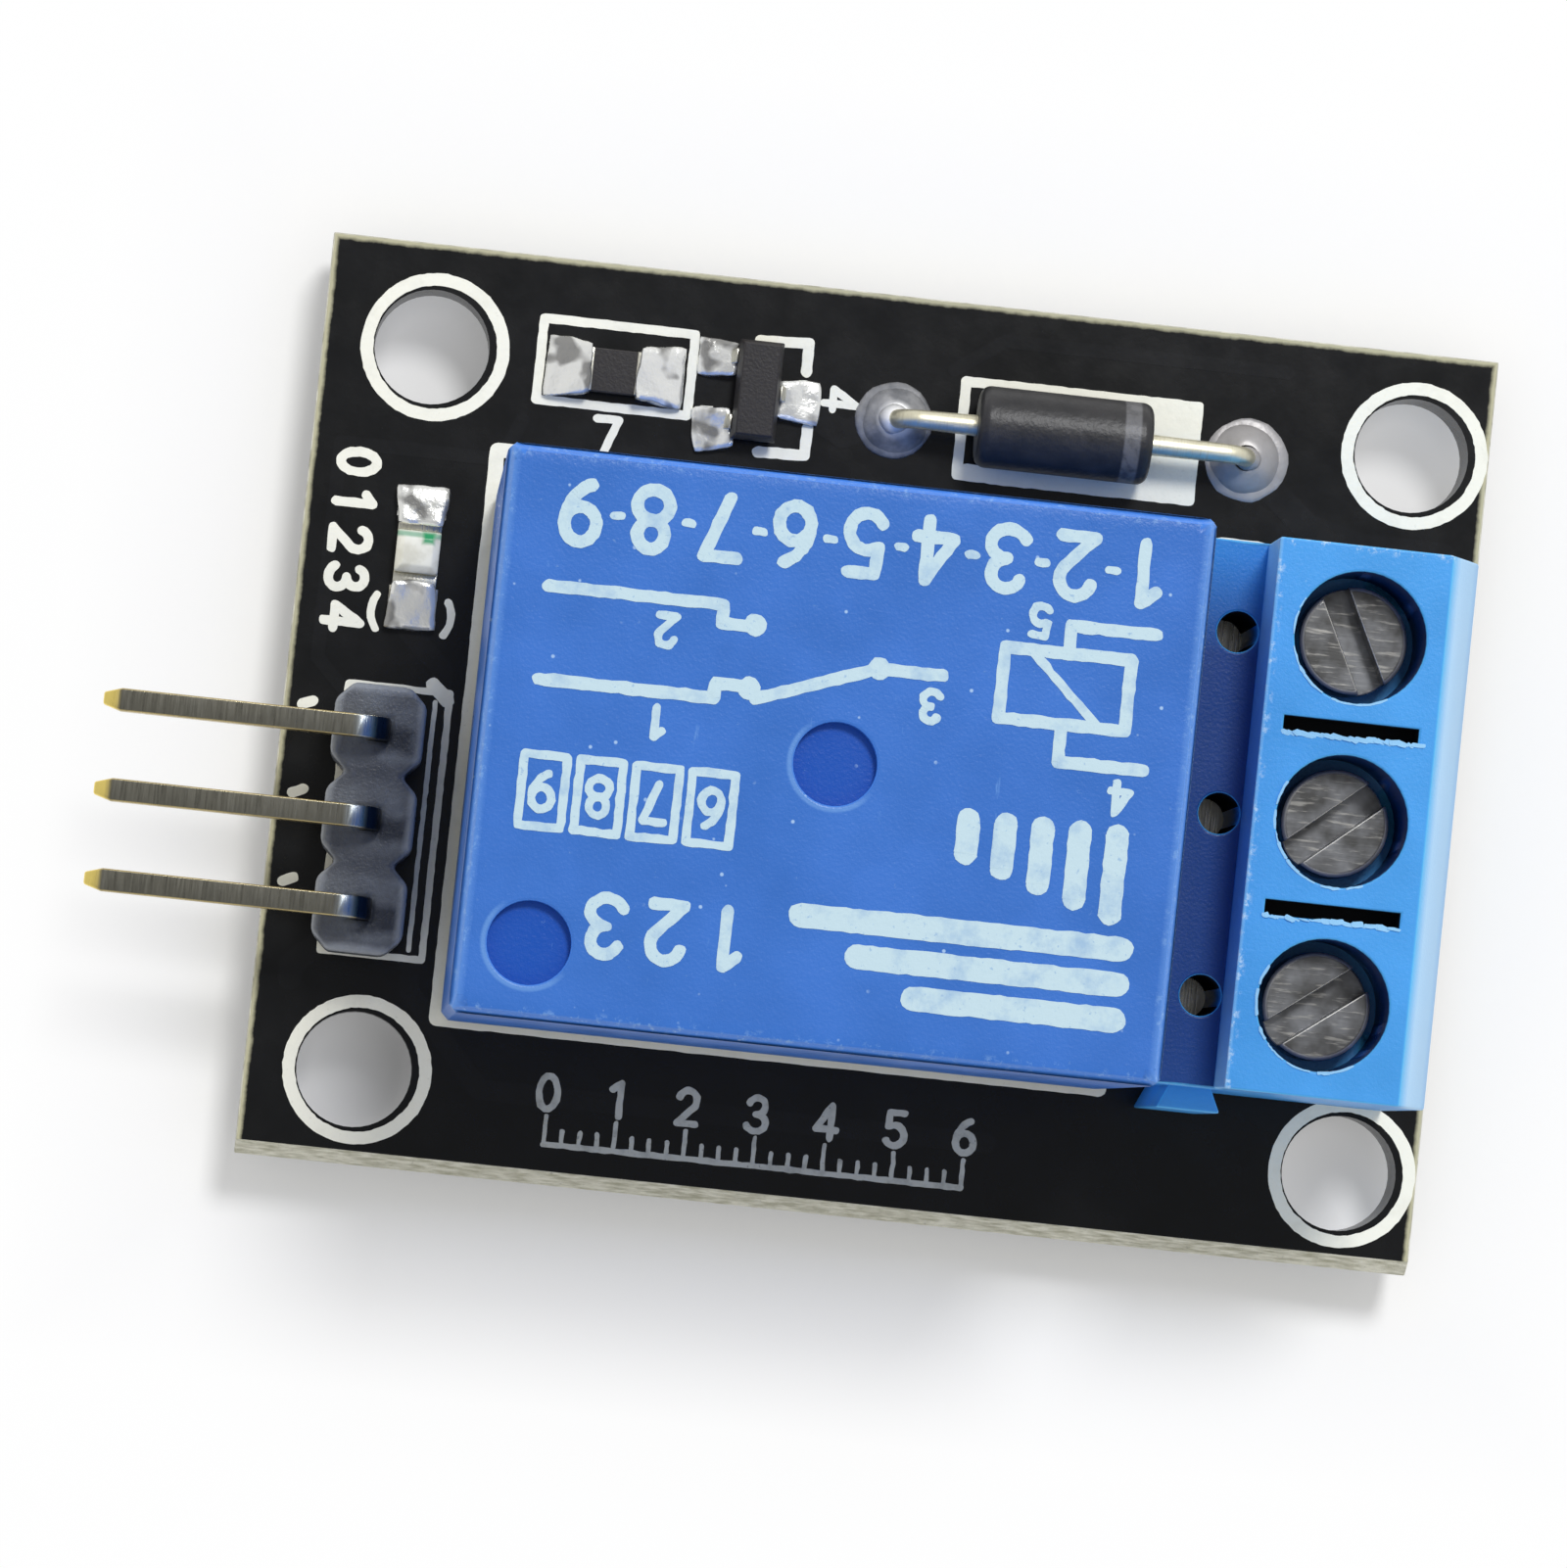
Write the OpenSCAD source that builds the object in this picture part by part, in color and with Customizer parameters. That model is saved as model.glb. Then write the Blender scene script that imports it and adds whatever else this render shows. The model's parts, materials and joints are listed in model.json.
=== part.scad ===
// Single relay module: a black circuit board that carries a sealed power relay,
// a three-pole screw terminal, a bent three-pin header and its driver parts.
// The origin is the centre of the four mounting holes on the board's underside.
// +Z points out of the component side and +X towards the screw terminal.
// The relay is open inside: coil, core, yoke, armature and contacts are modelled
// at rest, with the armature released. Each terminal screw turns in place and
// lifts its wire clamp towards the fixed tongue.

/* [Circuit board] */
// Width of the board along Y
board_w = 26.5; // [26:0.1:30]
// Thickness of the board
board_t = 1.6; // [1.0:0.2:2.0]
// Diameter of the mounting holes
hole_d = 3.3; // [2.8:0.1:3.4]
// Distance of the mounting holes from the header's edge of the board
hole_left = 3.14; // [2.4:0.02:3.4]
// Distance of the mounting holes from the terminal's edge
hole_right = 2.26; // [2.2:0.02:3.4]
// Distance of the mounting holes from the front edge
hole_front = 2.72; // [2.4:0.02:3.4]
// Distance of the mounting holes from the rear edge
hole_back = 2.98; // [2.4:0.02:3.4]
// Width of the snapped scoring bevel on the front edge
score_w = 0.4; // [0.2:0.05:0.6]
// Depth of that bevel from each face
score_d = 0.45; // [0.2:0.05:0.45]

/* [Leads and solder] */
// Length of the trimmed leads below the board
lead_out = 1.3; // [1.0:0.1:2.0]
// Gap between a lead's corners and its plated hole
lead_gap = 0.08; // [0.04:0.01:0.15]
// Radius that a solder cone adds around its hole
pad_ring = 0.42; // [0.3:0.02:0.5]
// Solder left on a lead at the cone's tip
solder_skin = 0.1; // [0.05:0.01:0.15]
// Height of a solder cone under the board
cone_h = 0.9; // [0.5:0.1:1.0]

/* [Relay case] */
// Length of the relay case
relay_l = 19.1; // [18.8:0.1:19.6]
// Width of the relay case
relay_w = 15.3; // [15.0:0.1:15.8]
// Height of the relay above the board
relay_h = 15.3; // [15.1:0.1:16.5]
// Thickness of the case walls
case_wall = 0.8; // [0.6:0.05:1.0]
// Thinner wall at the foot, where the base plate fits
case_lip = 0.5; // [0.4:0.05:0.55]
// Thickness of the case's top
case_top = 0.9; // [0.7:0.05:1.0]
// Chamfer along the case's outer edges
case_edge = 0.45; // [0.2:0.05:0.5]
// Gap between the relay and the screw terminal
relay_gap = 0.27; // [0.1:0.01:0.5]
// Bare board between the relay and the pin header
relay_clear = 1.32; // [0.6:0.02:4]
// Place of the relay's middle along Y
relay_y = -1.09; // [-1.4:0.01:-0.6]
// Diameter of the round recesses in the top
dimple_d = 2.25; // [1.5:0.05:2.6]
// Depth of those recesses
dimple_deep = 0.4; // [0.2:0.05:0.5]
// Distance of the corner recess from the case's end
dimple_end = 1.95; // [1.8:0.05:3.0]
// Distance of the corner recess from the case's front side
dimple_side = 2.05; // [1.8:0.05:3.0]
// Height of the feet that lift the base off the board
foot_h = 0.3; // [0.2:0.05:0.5]
// Side of each square foot
foot_w = 1.2; // [0.8:0.1:1.6]
// Room between the base plate and the case
base_fit = 0.03; // [0.01:0.01:0.06]
// Thickness of the base plate
base_t = 1.8; // [1.4:0.1:2.0]

/* [Relay coil] */
// Thickness of the relay's flat pins
relay_pin_t = 0.6; // [0.4:0.05:0.7]
// Width of the relay's flat pins
relay_pin_w = 1.0; // [0.8:0.05:1.2]
// Distance from the paired pins to the case's sides
pin_side = 1.65; // [1.4:0.05:2.2]
// Distance from the common pin to the line of the coil pins
coil_pin_step = 2; // [1.9:0.1:2.2]
// Diameter of the coil pins
coil_pin_d = 0.7; // [0.5:0.05:0.8]
// Length of the coil pins above the bobbin's flange
coil_pin_up = 0.9; // [0.5:0.1:1.5]
// Radius of the iron core
core_r = 2.4; // [2.0:0.1:2.6]
// Radius of the rivet end of the core
core_rivet_r = 1.4; // [1.0:0.1:1.6]
// Radius of the core's pole face
pole_r = 3.4; // [3.0:0.1:3.8]
// Thickness of the pole face
pole_t = 0.9; // [0.6:0.1:1.1]
// Wall of the bobbin's tube
bobbin_wall = 0.6; // [0.4:0.1:0.8]
// Radius of the bobbin's flanges
flange_r = 5.0; // [4.9:0.05:5.1]
// Thickness of the bobbin's flanges
flange_t = 0.7; // [0.5:0.1:0.9]
// Gap between the bobbin's foot and the case's sides
bobbin_gap = 0.15; // [0.05:0.05:0.4]
// Gap left between the winding and the flange's rim
winding_gap = 0.5; // [0.2:0.1:1.0]
// Gap between the yoke's plate and the coil's flanges
coil_gap = 0.4; // [0.3:0.05:0.7]

/* [Relay yoke and armature] */
// Thickness of the yoke
yoke_t = 1.1; // [0.9:0.1:1.2]
// Width of the yoke
yoke_w = 9.0; // [8.0:0.1:9.4]
// Distance from the common pin to the case's end
common_inset = 2.45; // [2.4:0.05:2.6]
// Thickness of the armature
armature_t = 1.0; // [0.8:0.05:1.1]
// Width of the armature
armature_w = 8.6; // [7.6:0.1:9.0]
// Length of the armature's full width, before it narrows
armature_wide = 6.0; // [5.0:0.1:8.0]
// Length of the armature from its hinge
armature_l = 10.0; // [9.0:0.1:10.4]
// Angle of the released armature
armature_lift = 2.5; // [2.0:0.1:2.6]
// Gap between closed armature and pole
magnet_gap = 0.03; // [0.02:0.01:0.05]

/* [Relay contacts] */
// Distance from the fixed contact pins to the case's end
contact_inset = 2.45; // [2.4:0.05:2.6]
// Gap between the upper contact arm and the case's top
arm_room = 0.3; // [0.2:0.05:0.6]
// Thickness of the contact blade
blade_t = 0.2; // [0.15:0.05:0.25]
// Width of the contact blade
blade_w = 4.0; // [3.0:0.1:4.4]
// Length of the blade's return leg behind the yoke
blade_leg = 4.6; // [3.0:0.1:5.5]
// Gap between the return leg and the yoke
leg_gap = 0.06; // [0.04:0.01:0.1]
// Distance from the hinge to the first pip that holds the blade
blade_pip_1 = 2.5; // [2.0:0.1:3.5]
// Distance from the hinge to the second pip
blade_pip_2 = 6.0; // [5.0:0.1:7.0]
// Gap between the blade's tip and the case's end
blade_room = 0.05; // [0.04:0.01:0.3]
// Radius of the contact rivets
rivet_r = 1.2; // [0.9:0.05:1.3]
// Radius of a rivet's shank
rivet_shank = 0.5; // [0.3:0.05:0.6]
// Height of a contact rivet's head
rivet_h = 0.35; // [0.25:0.05:0.4]
// Thickness of the fixed contact arms
arm_t = 0.45; // [0.35:0.05:0.5]
// Width of the fixed contact arms
arm_w = 2.0; // [1.6:0.1:2.2]
// Gap that keeps touching contacts apart
contact_gap = 0.02; // [0.01:0.01:0.04]

/* [Terminal housing] */
// Distance between poles
pole_pitch = 5.08; // [5.0:0.01:5.2]
// Height of the terminal above the board
term_h = 10; // [9.8:0.1:11]
// Distance from screw axis to the front face
term_front = 3.29; // [3.1:0.01:3.6]
// Distance from screw axis to the rear face
term_rear = 4.52; // [4.3:0.01:4.8]
// Distance from screw axis to the step at the rear
term_step = 2.48; // [2.35:0.01:2.6]
// Height of the rear ledge above the board
ledge_h = 7.4; // [7.0:0.1:8.2]
// Width of the front chamfer along X
front_cut_x = 0.95; // [0.6:0.05:1.0]
// Height of the front chamfer
front_cut_z = 1.7; // [1.0:0.1:2.0]
// Distance of the terminal's front face from the board's edge
term_setback = 1.2; // [0.8:0.05:1.4]
// Place of the terminal's middle along Y
term_y = -0.87; // [-1.2:0.01:-0.4]
// Diameter of the screw wells
well_d = 3.65; // [3.4:0.05:3.8]
// Distance from screw axis to the tongues' legs
leg_back = 3.1; // [3.07:0.01:3.3]
// Diameter of the probe holes in the ledge
probe_d = 1.15; // [0.8:0.05:1.2]
// Length of the marking slots between poles
mark_l = 3.75; // [3:0.05:4]
// Width of the marking slots
mark_w = 0.42; // [0.3:0.02:0.6]
// Depth of the marking slots
mark_deep = 1.2; // [0.4:0.1:1.6]
// Width of a wire entry at its throat
entry_w = 2.7; // [2.4:0.1:2.8]
// Width that the entry's funnel adds on each side
funnel_out = 0.55; // [0.3:0.05:0.6]
// Height that the funnel adds above the tongue
funnel_up = 0.9; // [0.4:0.05:1.2]
// Depth of the entry's funnel
funnel_deep = 0.9; // [0.6:0.1:1.1]
// Distance of the joining rib from the rear face
rib_back = 1.55; // [1.3:0.05:1.7]
// Width of the joining rib at its root
rib_root = 1.2; // [1.0:0.1:1.4]
// Width of the joining rib at its outer face
rib_tip = 1.8; // [1.6:0.1:2.0]
// How far the joining rib stands out
rib_out = 0.65; // [0.5:0.05:0.7]
// Height of the joining rib
rib_h = 6; // [4:0.1:6.8]
// Room round the rib in its groove
rib_gap = 0.1; // [0.05:0.01:0.15]

/* [Terminal metal] */
// Diameter of the screw heads
head_d = 3.0; // [2.8:0.05:3.2]
// Height of the screw heads
head_h = 1.3; // [1.1:0.05:1.5]
// Depth of the screw heads below the terminal's top
head_sink = 1.4; // [1.2:0.05:1.6]
// Width of the driver slots
slot_w = 0.75; // [0.5:0.05:0.9]
// Depth of the driver slots
slot_deep = 0.7; // [0.4:0.05:0.9]
// Diameter of the screw shanks
shank_d = 2.5; // [2.3:0.1:2.6]
// Running clearance round the shanks
run_gap = 0.05; // [0.02:0.01:0.08]
// Thickness of the shoulder under the screw heads
shoulder_t = 0.7; // [0.5:0.05:0.8]
// Width of a wire clamp along Y
clamp_w = 3.9; // [3.7:0.05:4.0]
// Depth of a wire clamp along X
clamp_d = 3.2; // [2.9:0.05:3.3]
// Thickness of a clamp's side and bottom walls
clamp_wall = 0.6; // [0.5:0.05:0.65]
// Thickness of a clamp's threaded top
clamp_head = 1.2; // [1.0:0.05:1.3]
// Height of an open clamp's foot above the board
clamp_foot = 0.3; // [0.25:0.05:0.4]
// How far a clamp rises
clamp_travel = 1.8; // [1.5:0.05:1.85]
// Sliding room round a clamp
slide_gap = 0.08; // [0.04:0.01:0.12]
// Thickness of the fixed tongues
tongue_t = 0.5; // [0.4:0.05:0.55]
// Width of the fixed tongues
tongue_w = 2.2; // [1.8:0.1:2.3]
// Height of the tongues' legs above the board
leg_low = 0.4; // [0.2:0.05:0.6]
// Width of the terminal's solder pins
term_pin_w = 0.9; // [0.7:0.05:1.0]

/* [Pin header] */
// Distance between header pins
pin_pitch = 2.54; // [2.5:0.01:2.6]
// Side of the square header pins
pin_w = 0.64; // [0.5:0.01:0.68]
// Width of the header's insulator
cell_w = 2.6; // [2.3:0.05:2.8]
// Height of the header's insulator
cell_h = 2.54; // [2.0:0.02:2.8]
// Chamfer at the corners of each insulator cell
cell_cut = 0.5; // [0.3:0.05:0.7]
// Distance of the pin row from the board's edge
header_inset = 2.8; // [2.4:0.05:3.2]
// Place of the middle pin along Y
header_y = -3.35; // [-3.8:0.01:-3.0]
// Height of the bent pins' axis above the board
pin_rise = 3.4; // [3.3:0.05:4.2]
// Radius of the bend at the pin's axis
bend_r = 0.6; // [0.5:0.02:0.62]
// How far the pins reach beyond the board's edge
pin_reach = 4.95; // [4:0.05:7]
// Length of the pins' tapered tips
tip_l = 0.5; // [0.3:0.05:0.8]
// Width left at the very tip
tip_w = 0.34; // [0.2:0.02:0.4]

/* [Chip parts] */
// Length of the chip resistor
resistor_l = 2.0; // [1.9:0.05:2.2]
// Width of the chip resistor
resistor_w = 1.25; // [1.1:0.05:1.4]
// Height of the chip resistor
resistor_h = 0.5; // [0.4:0.05:0.6]
// Length of a chip's metal ends
cap_l = 0.38; // [0.25:0.02:0.45]
// Wrap thickness of a chip's metal ends
cap_t = 0.04; // [0.03:0.01:0.06]
// Distance of the resistor from the board's left edge
resistor_in = 8.4; // [8.0:0.05:8.6]
// Distance of the resistor from the board's rear edge
resistor_down = 3.14; // [3.0:0.02:3.4]
// Length of the indicator lamp
lamp_l = 2.0; // [1.9:0.05:2.2]
// Width of the indicator lamp
lamp_w = 1.25; // [1.1:0.05:1.3]
// Height of the lamp's base
lamp_base_h = 0.3; // [0.2:0.05:0.4]
// Height of the lamp's clear lens
lamp_lens_h = 0.5; // [0.3:0.05:0.6]
// Gap between the lamp's lens and its metal ends
lens_gap = 0.02; // [0.01:0.01:0.1]
// Distance of the lamp from the board's left edge
lamp_in = 3.36; // [3.2:0.02:3.6]
// Distance of the lamp from the board's rear edge
lamp_down = 8.92; // [8.6:0.02:9.4]
// Length of a solder fillet at a chip's end
fillet_l = 0.75; // [0.5:0.05:0.9]
// Width of a solder fillet beside a chip
fillet_w = 1.4; // [1.2:0.05:1.6]
// Height of a solder fillet
fillet_h = 0.45; // [0.3:0.05:0.5]

/* [Transistor] */
// Length of the transistor's body along Y
transistor_l = 2.9; // [2.7:0.05:3.1]
// Width of the transistor's body along X
transistor_w = 1.3; // [1.2:0.05:1.4]
// Height of the transistor's body
transistor_h = 0.95; // [0.8:0.05:1.1]
// Gap under the transistor's body
transistor_gap = 0.1; // [0.05:0.01:0.15]
// Distance between the paired leads
transistor_pitch = 1.9; // [1.8:0.05:2.0]
// Span over the leads along X
transistor_span = 2.4; // [2.3:0.05:2.6]
// Width of the transistor's leads
leg_w = 0.42; // [0.3:0.02:0.5]
// Thickness of the transistor's leads
leg_t = 0.13; // [0.1:0.01:0.16]
// Distance of the transistor from the chip resistor along X
transistor_step = 4.13; // [4:0.01:5]
// Distance of the transistor from the board's rear edge
transistor_down = 3.26; // [3.0:0.02:3.5]

/* [Diode] */
// Length of the diode's body
diode_l = 5.0; // [4.6:0.1:5.4]
// Diameter of the diode's body
diode_d = 2.35; // [2.2:0.05:2.6]
// Chamfer at the ends of the diode's body
diode_cut = 0.18; // [0.1:0.02:0.3]
// Diameter of the diode's wires
wire_d = 0.75; // [0.6:0.05:0.8]
// Bend radius of the diode's wires
wire_bend = 0.8; // [0.6:0.05:0.8]
// Distance between the diode's holes
diode_pitch = 10.16; // [9.8:0.02:10.6]
// Distance of the diode's holes' middle from the transistor along X
diode_step = 9.13; // [8.6:0.01:10]
// Offset of the diode's body from the middle of its holes
diode_shift = -0.3; // [-0.6:0.05:0.6]
// Distance of the diode's wires from the board's rear edge
diode_down = 3.62; // [3.4:0.02:3.8]
// Radius of the solder domes over the diode's holes
dome_r = 1.05; // [0.85:0.05:1.1]
// Height of those domes
dome_h = 0.55; // [0.3:0.05:0.8]

/* [Hidden] */

$fn = 48;
eps = 0.01;      // overrun of a cut past the face it opens
poles = 3;       // screw terminal poles, and header pins

// the board is as long as the row that it carries: header, relay and terminal
board_l = header_inset + cell_w / 2 + relay_clear + relay_l + relay_gap
    + term_rear + term_front + term_setback;
hole_dx = board_l - hole_left - hole_right;
hole_dy = board_w - hole_front - hole_back;
board_left = -hole_dx / 2 - hole_left;
board_right = hole_dx / 2 + hole_right;
board_front = -hole_dy / 2 - hole_front;
board_back = hole_dy / 2 + hole_back;

// screw terminal, along X
term_face = board_right - term_setback;
screw_x = term_face - term_front;
term_back = screw_x - term_rear;
term_w = poles * pole_pitch;

// heights of the terminal's metal above the board
head_top = term_h - head_sink;
head_low = head_top - head_h;
shoulder_top = head_low - contact_gap;
shaft_top = shoulder_top - shoulder_t;
clamp_h = shaft_top - clamp_foot - clamp_travel - contact_gap;
clamp_window = clamp_foot + clamp_h - clamp_head;      // underside of the threaded top
tongue_top = clamp_window - run_gap;
shank_low = clamp_window + run_gap;
shaft_half = clamp_d / 2 + slide_gap;                  // half the clamp's shaft along X
entry_low = clamp_foot + clamp_wall;
throat_x = term_front - funnel_deep;

// relay, with the common pin near the left end
relay_x = term_back - relay_gap - relay_l / 2;
common_x = -relay_l / 2 + common_inset;
contact_x = relay_l / 2 - contact_inset;
coil_pin_x = common_x + coil_pin_step;
pair_y = relay_w / 2 - pin_side;            // paired pins, from the relay's middle
base_top = foot_h + base_t;
leg_x = common_x - yoke_t / 2;              // outer face of the yoke's plate
coil_x = leg_x + yoke_t + coil_gap + flange_r;
contact_arm = contact_x - leg_x;            // lever arm of the moving contact
contact_rise = (contact_arm + rivet_r) * sin(armature_lift);
blade_reach = relay_l / 2 - case_wall - blade_room - leg_x;

// the stack that hangs from the relay's top: both contacts, blade, armature and yoke
closed_arm = relay_h - case_top - arm_room - arm_t;
closed_low = closed_arm - rivet_h;
blade_low = closed_low - contact_gap - contact_rise - rivet_h - blade_t;
open_top = blade_low - rivet_h - contact_gap;
hinge_z = blade_low - armature_t;
yoke_top = hinge_z - magnet_gap;
bobbin_low = base_top + yoke_t;
pole_low = yoke_top - pole_t;
bobbin_top = pole_low;
pip_x = [blade_pip_1, blade_pip_2];         // pips that hold the blade, from the hinge

// pin header
header_x = board_left + header_inset;
tip_x = board_left - pin_reach;

// chip parts and diode
resistor_at = [board_left + resistor_in, board_back - resistor_down];
lamp_at = [board_left + lamp_in, board_back - lamp_down];
lens_l = lamp_l - 2 * (cap_l + lens_gap);
transistor_at = [resistor_at.x + transistor_step, board_back - transistor_down];
diode_at = [transistor_at.x + diode_step, board_back - diode_down];

// driver slot directions, as the screws were left
screw_turn = [116, 40, 37];

// lead sections: one number is a round wire, two are a flat or square pin
flat_pin = [relay_pin_t, relay_pin_w];
round_pin = [coil_pin_d];
square_pin = [pin_w, pin_w];
tongue_pin = [tongue_t, term_pin_w];

wire = [wire_d];

function pole_y(i) = term_y + (2 - i) * pole_pitch;
function pin_y(i) = header_y + (2 - i) * pin_pitch;
function half_span(s) = len(s) == 1 ? s[0] / 2 : norm(s) / 2;
function hole_r(s) = half_span(s) + lead_gap;
function dome_ball() = (dome_r * dome_r + dome_h * dome_h) / (2 * dome_h);

// every lead that passes through the board: [x, y], section
relay_leads = [
    [[relay_x + common_x, relay_y], flat_pin],
    [[relay_x + coil_pin_x, relay_y + pair_y], round_pin],
    [[relay_x + coil_pin_x, relay_y - pair_y], round_pin],
    [[relay_x + contact_x, relay_y + pair_y], flat_pin],
    [[relay_x + contact_x, relay_y - pair_y], flat_pin]];
terminal_leads = [for (i = [1:poles]) [[screw_x - leg_back, pole_y(i)], tongue_pin]];
header_leads = [for (i = [1:poles]) [[header_x, pin_y(i)], square_pin]];
diode_leads = [for (side = [-1, 1]) [diode_at + [side * diode_pitch / 2, 0], wire]];

// ---------- shared shapes ----------

// extrudes an X-Z outline along Y, about the middle
module along_y(w) rotate([90, 0, 0]) translate([0, 0, -w / 2]) linear_extrude(w) children();

// extrudes a Y-Z outline along X, about the middle
module along_x(l) rotate([90, 0, 90]) translate([0, 0, -l / 2]) linear_extrude(l) children();

// block that stands on z = 0 about the Z axis
module block(x, y, z) translate([-x / 2, -y / 2, 0]) cube([x, y, z]);

// rectangle about the origin with cut corners
module cut_rect(x, y, c)
    polygon([[c - x / 2, -y / 2], [x / 2 - c, -y / 2], [x / 2, c - y / 2], [x / 2, y / 2 - c],
        [x / 2 - c, y / 2], [c - x / 2, y / 2], [-x / 2, y / 2 - c], [-x / 2, c - y / 2]]);

// outline of a wall that stands on the axis, with its two upper corners cut
module cut_top(x, z, c)
    polygon([[-x / 2, 0], [x / 2, 0], [x / 2, z - c], [x / 2 - c, z], [c - x / 2, z], [-x / 2, z - c]]);

// square bar along -X from the origin that narrows to its tip, on a short straight root
module taper(l, w, tip) intersection() {
    along_y(w) taper_outline(l, w, tip);
    translate([0, 0, -w / 2]) linear_extrude(w) taper_outline(l, w, tip);
}

module taper_outline(l, w, tip)
    polygon([[eps, -w / 2], [eps, w / 2], [0, w / 2], [-l, tip / 2], [-l, -tip / 2], [0, -w / 2]]);

module lead(at, section, low, high) translate([at.x, at.y, low])
    if (len(section) == 1) cylinder(h = high - low, d = section[0]);
    else block(section.x, section.y, high - low);

// solder in a plated hole, with its cone under the board
module joint(at, section) {
    r = hole_r(section);
    difference() {
        translate([at.x, at.y, 0]) {
            cylinder(h = board_t, r = r);
            translate([0, 0, -cone_h])
                cylinder(h = cone_h, r1 = half_span(section) + solder_skin, r2 = r + pad_ring);
        }
        lead(at, section, -lead_out - eps, board_t + eps);
    }
}

module on_board(at) translate([at.x, at.y, board_t]) children();
module at_relay() translate([relay_x, relay_y, board_t]) children();
module at_pole(i) translate([screw_x, pole_y(i), board_t]) children();

// ---------- circuit board ----------

module circuit_board() color("#1f2223") difference() {
    translate([(board_left + board_right) / 2, 0, 0]) along_x(board_l)
        polygon([[board_front + score_w, 0], [board_back, 0], [board_back, board_t],
            [board_front + score_w, board_t], [board_front, board_t - score_d],
            [board_front, score_d]]);
    for (sx = [-1, 1], sy = [-1, 1]) translate([sx * hole_dx / 2, sy * hole_dy / 2, -eps])
        cylinder(h = board_t + 2 * eps, d = hole_d);
    for (l = concat(relay_leads, terminal_leads, header_leads, diode_leads))
        translate([l[0].x, l[0].y, -eps]) cylinder(h = board_t + 2 * eps, r = hole_r(l[1]));
}

// ---------- relay ----------

module relay_cover() color("#4878c4") at_relay() difference() {
    translate([0, 0, foot_h]) intersection() {
        linear_extrude(relay_h - foot_h) cut_rect(relay_l, relay_w, case_edge);
        along_y(relay_w) cut_top(relay_l, relay_h - foot_h, case_edge);
        along_x(relay_l) cut_top(relay_w, relay_h - foot_h, case_edge);
    }
    translate([0, 0, base_top - eps])
        block(relay_l - 2 * case_wall, relay_w - 2 * case_wall, relay_h - case_top - base_top + eps);
    translate([0, 0, foot_h - eps])
        block(relay_l - 2 * case_lip, relay_w - 2 * case_lip, base_t + eps);
    for (at = [[0, 0], [dimple_end - relay_l / 2, dimple_side - relay_w / 2]])
        translate([at.x, at.y, relay_h - dimple_deep]) cylinder(h = dimple_deep + eps, d = dimple_d);
}

module relay_base() color("#2f4f86") difference() {
    at_relay() {
        translate([0, 0, foot_h])
            block(relay_l - 2 * (case_lip + base_fit), relay_w - 2 * (case_lip + base_fit), base_t);
        for (sx = [-1, 1], sy = [-1, 1])
            translate([sx * (relay_l / 2 - case_lip - foot_w), sy * (relay_w / 2 - case_lip - foot_w), 0])
                block(foot_w, foot_w, foot_h + eps);
    }
    for (l = relay_leads) lead(l[0], l[1], board_t, board_t + base_top + eps);
}

module coil_bobbin() color("#e8e4d8") difference() {
    at_relay() {
        translate([coil_x, 0, bobbin_low]) cylinder(h = flange_t, r = flange_r);
        translate([coil_x, 0, bobbin_low]) cylinder(h = bobbin_top - bobbin_low, r = core_r + bobbin_wall);
        translate([coil_x, 0, bobbin_top - flange_t]) cylinder(h = flange_t, r = flange_r);
        translate([coil_pin_x, 0, bobbin_low])
            block(3 * coil_pin_d, relay_w - 2 * (case_wall + bobbin_gap), flange_t);
    }
    at_relay() translate([coil_x, 0, bobbin_low - eps])
        cylinder(h = bobbin_top - bobbin_low + 2 * eps, r = core_r);
    for (n = [1, 2]) lead(relay_leads[n][0], round_pin, board_t, board_t + bobbin_top);
}

module coil_winding() color("#b5652f") at_relay()
    translate([coil_x, 0, bobbin_low + flange_t]) difference() {
        cylinder(h = bobbin_top - bobbin_low - 2 * flange_t, r = flange_r - winding_gap);
        translate([0, 0, -eps]) cylinder(h = bobbin_top, r = core_r + bobbin_wall);
    }

module iron_core() color("#8f9296") at_relay() translate([coil_x, 0, 0]) {
    translate([0, 0, base_top]) cylinder(h = yoke_t + eps, r = core_rivet_r);
    translate([0, 0, bobbin_low]) cylinder(h = pole_low - bobbin_low + eps, r = core_r);
    translate([0, 0, pole_low]) cylinder(h = pole_t, r = pole_r);
}

module yoke() color("#9a9da1") {
    at_relay() difference() {
        along_y(yoke_w) polygon([[leg_x, base_top], [coil_x + core_r, base_top],
            [coil_x + core_r, bobbin_low], [leg_x + yoke_t, bobbin_low],
            [leg_x + yoke_t, yoke_top], [leg_x, yoke_top]]);
        translate([coil_x, 0, base_top - eps]) cylinder(h = yoke_t + 2 * eps, r = core_rivet_r);
    }
    lead(relay_leads[0][0], flat_pin, -lead_out, board_t + base_top + eps);
}

module coil_pins() color("#c9ccd0") for (n = [1, 2])
    lead(relay_leads[n][0], round_pin, -lead_out, board_t + bobbin_low + flange_t + coil_pin_up);

// turns what is drawn closed about the yoke's edge to its released place
module released() translate([leg_x, 0, hinge_z]) rotate([0, -armature_lift, 0])
    translate([-leg_x, 0, -hinge_z]) children();

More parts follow.
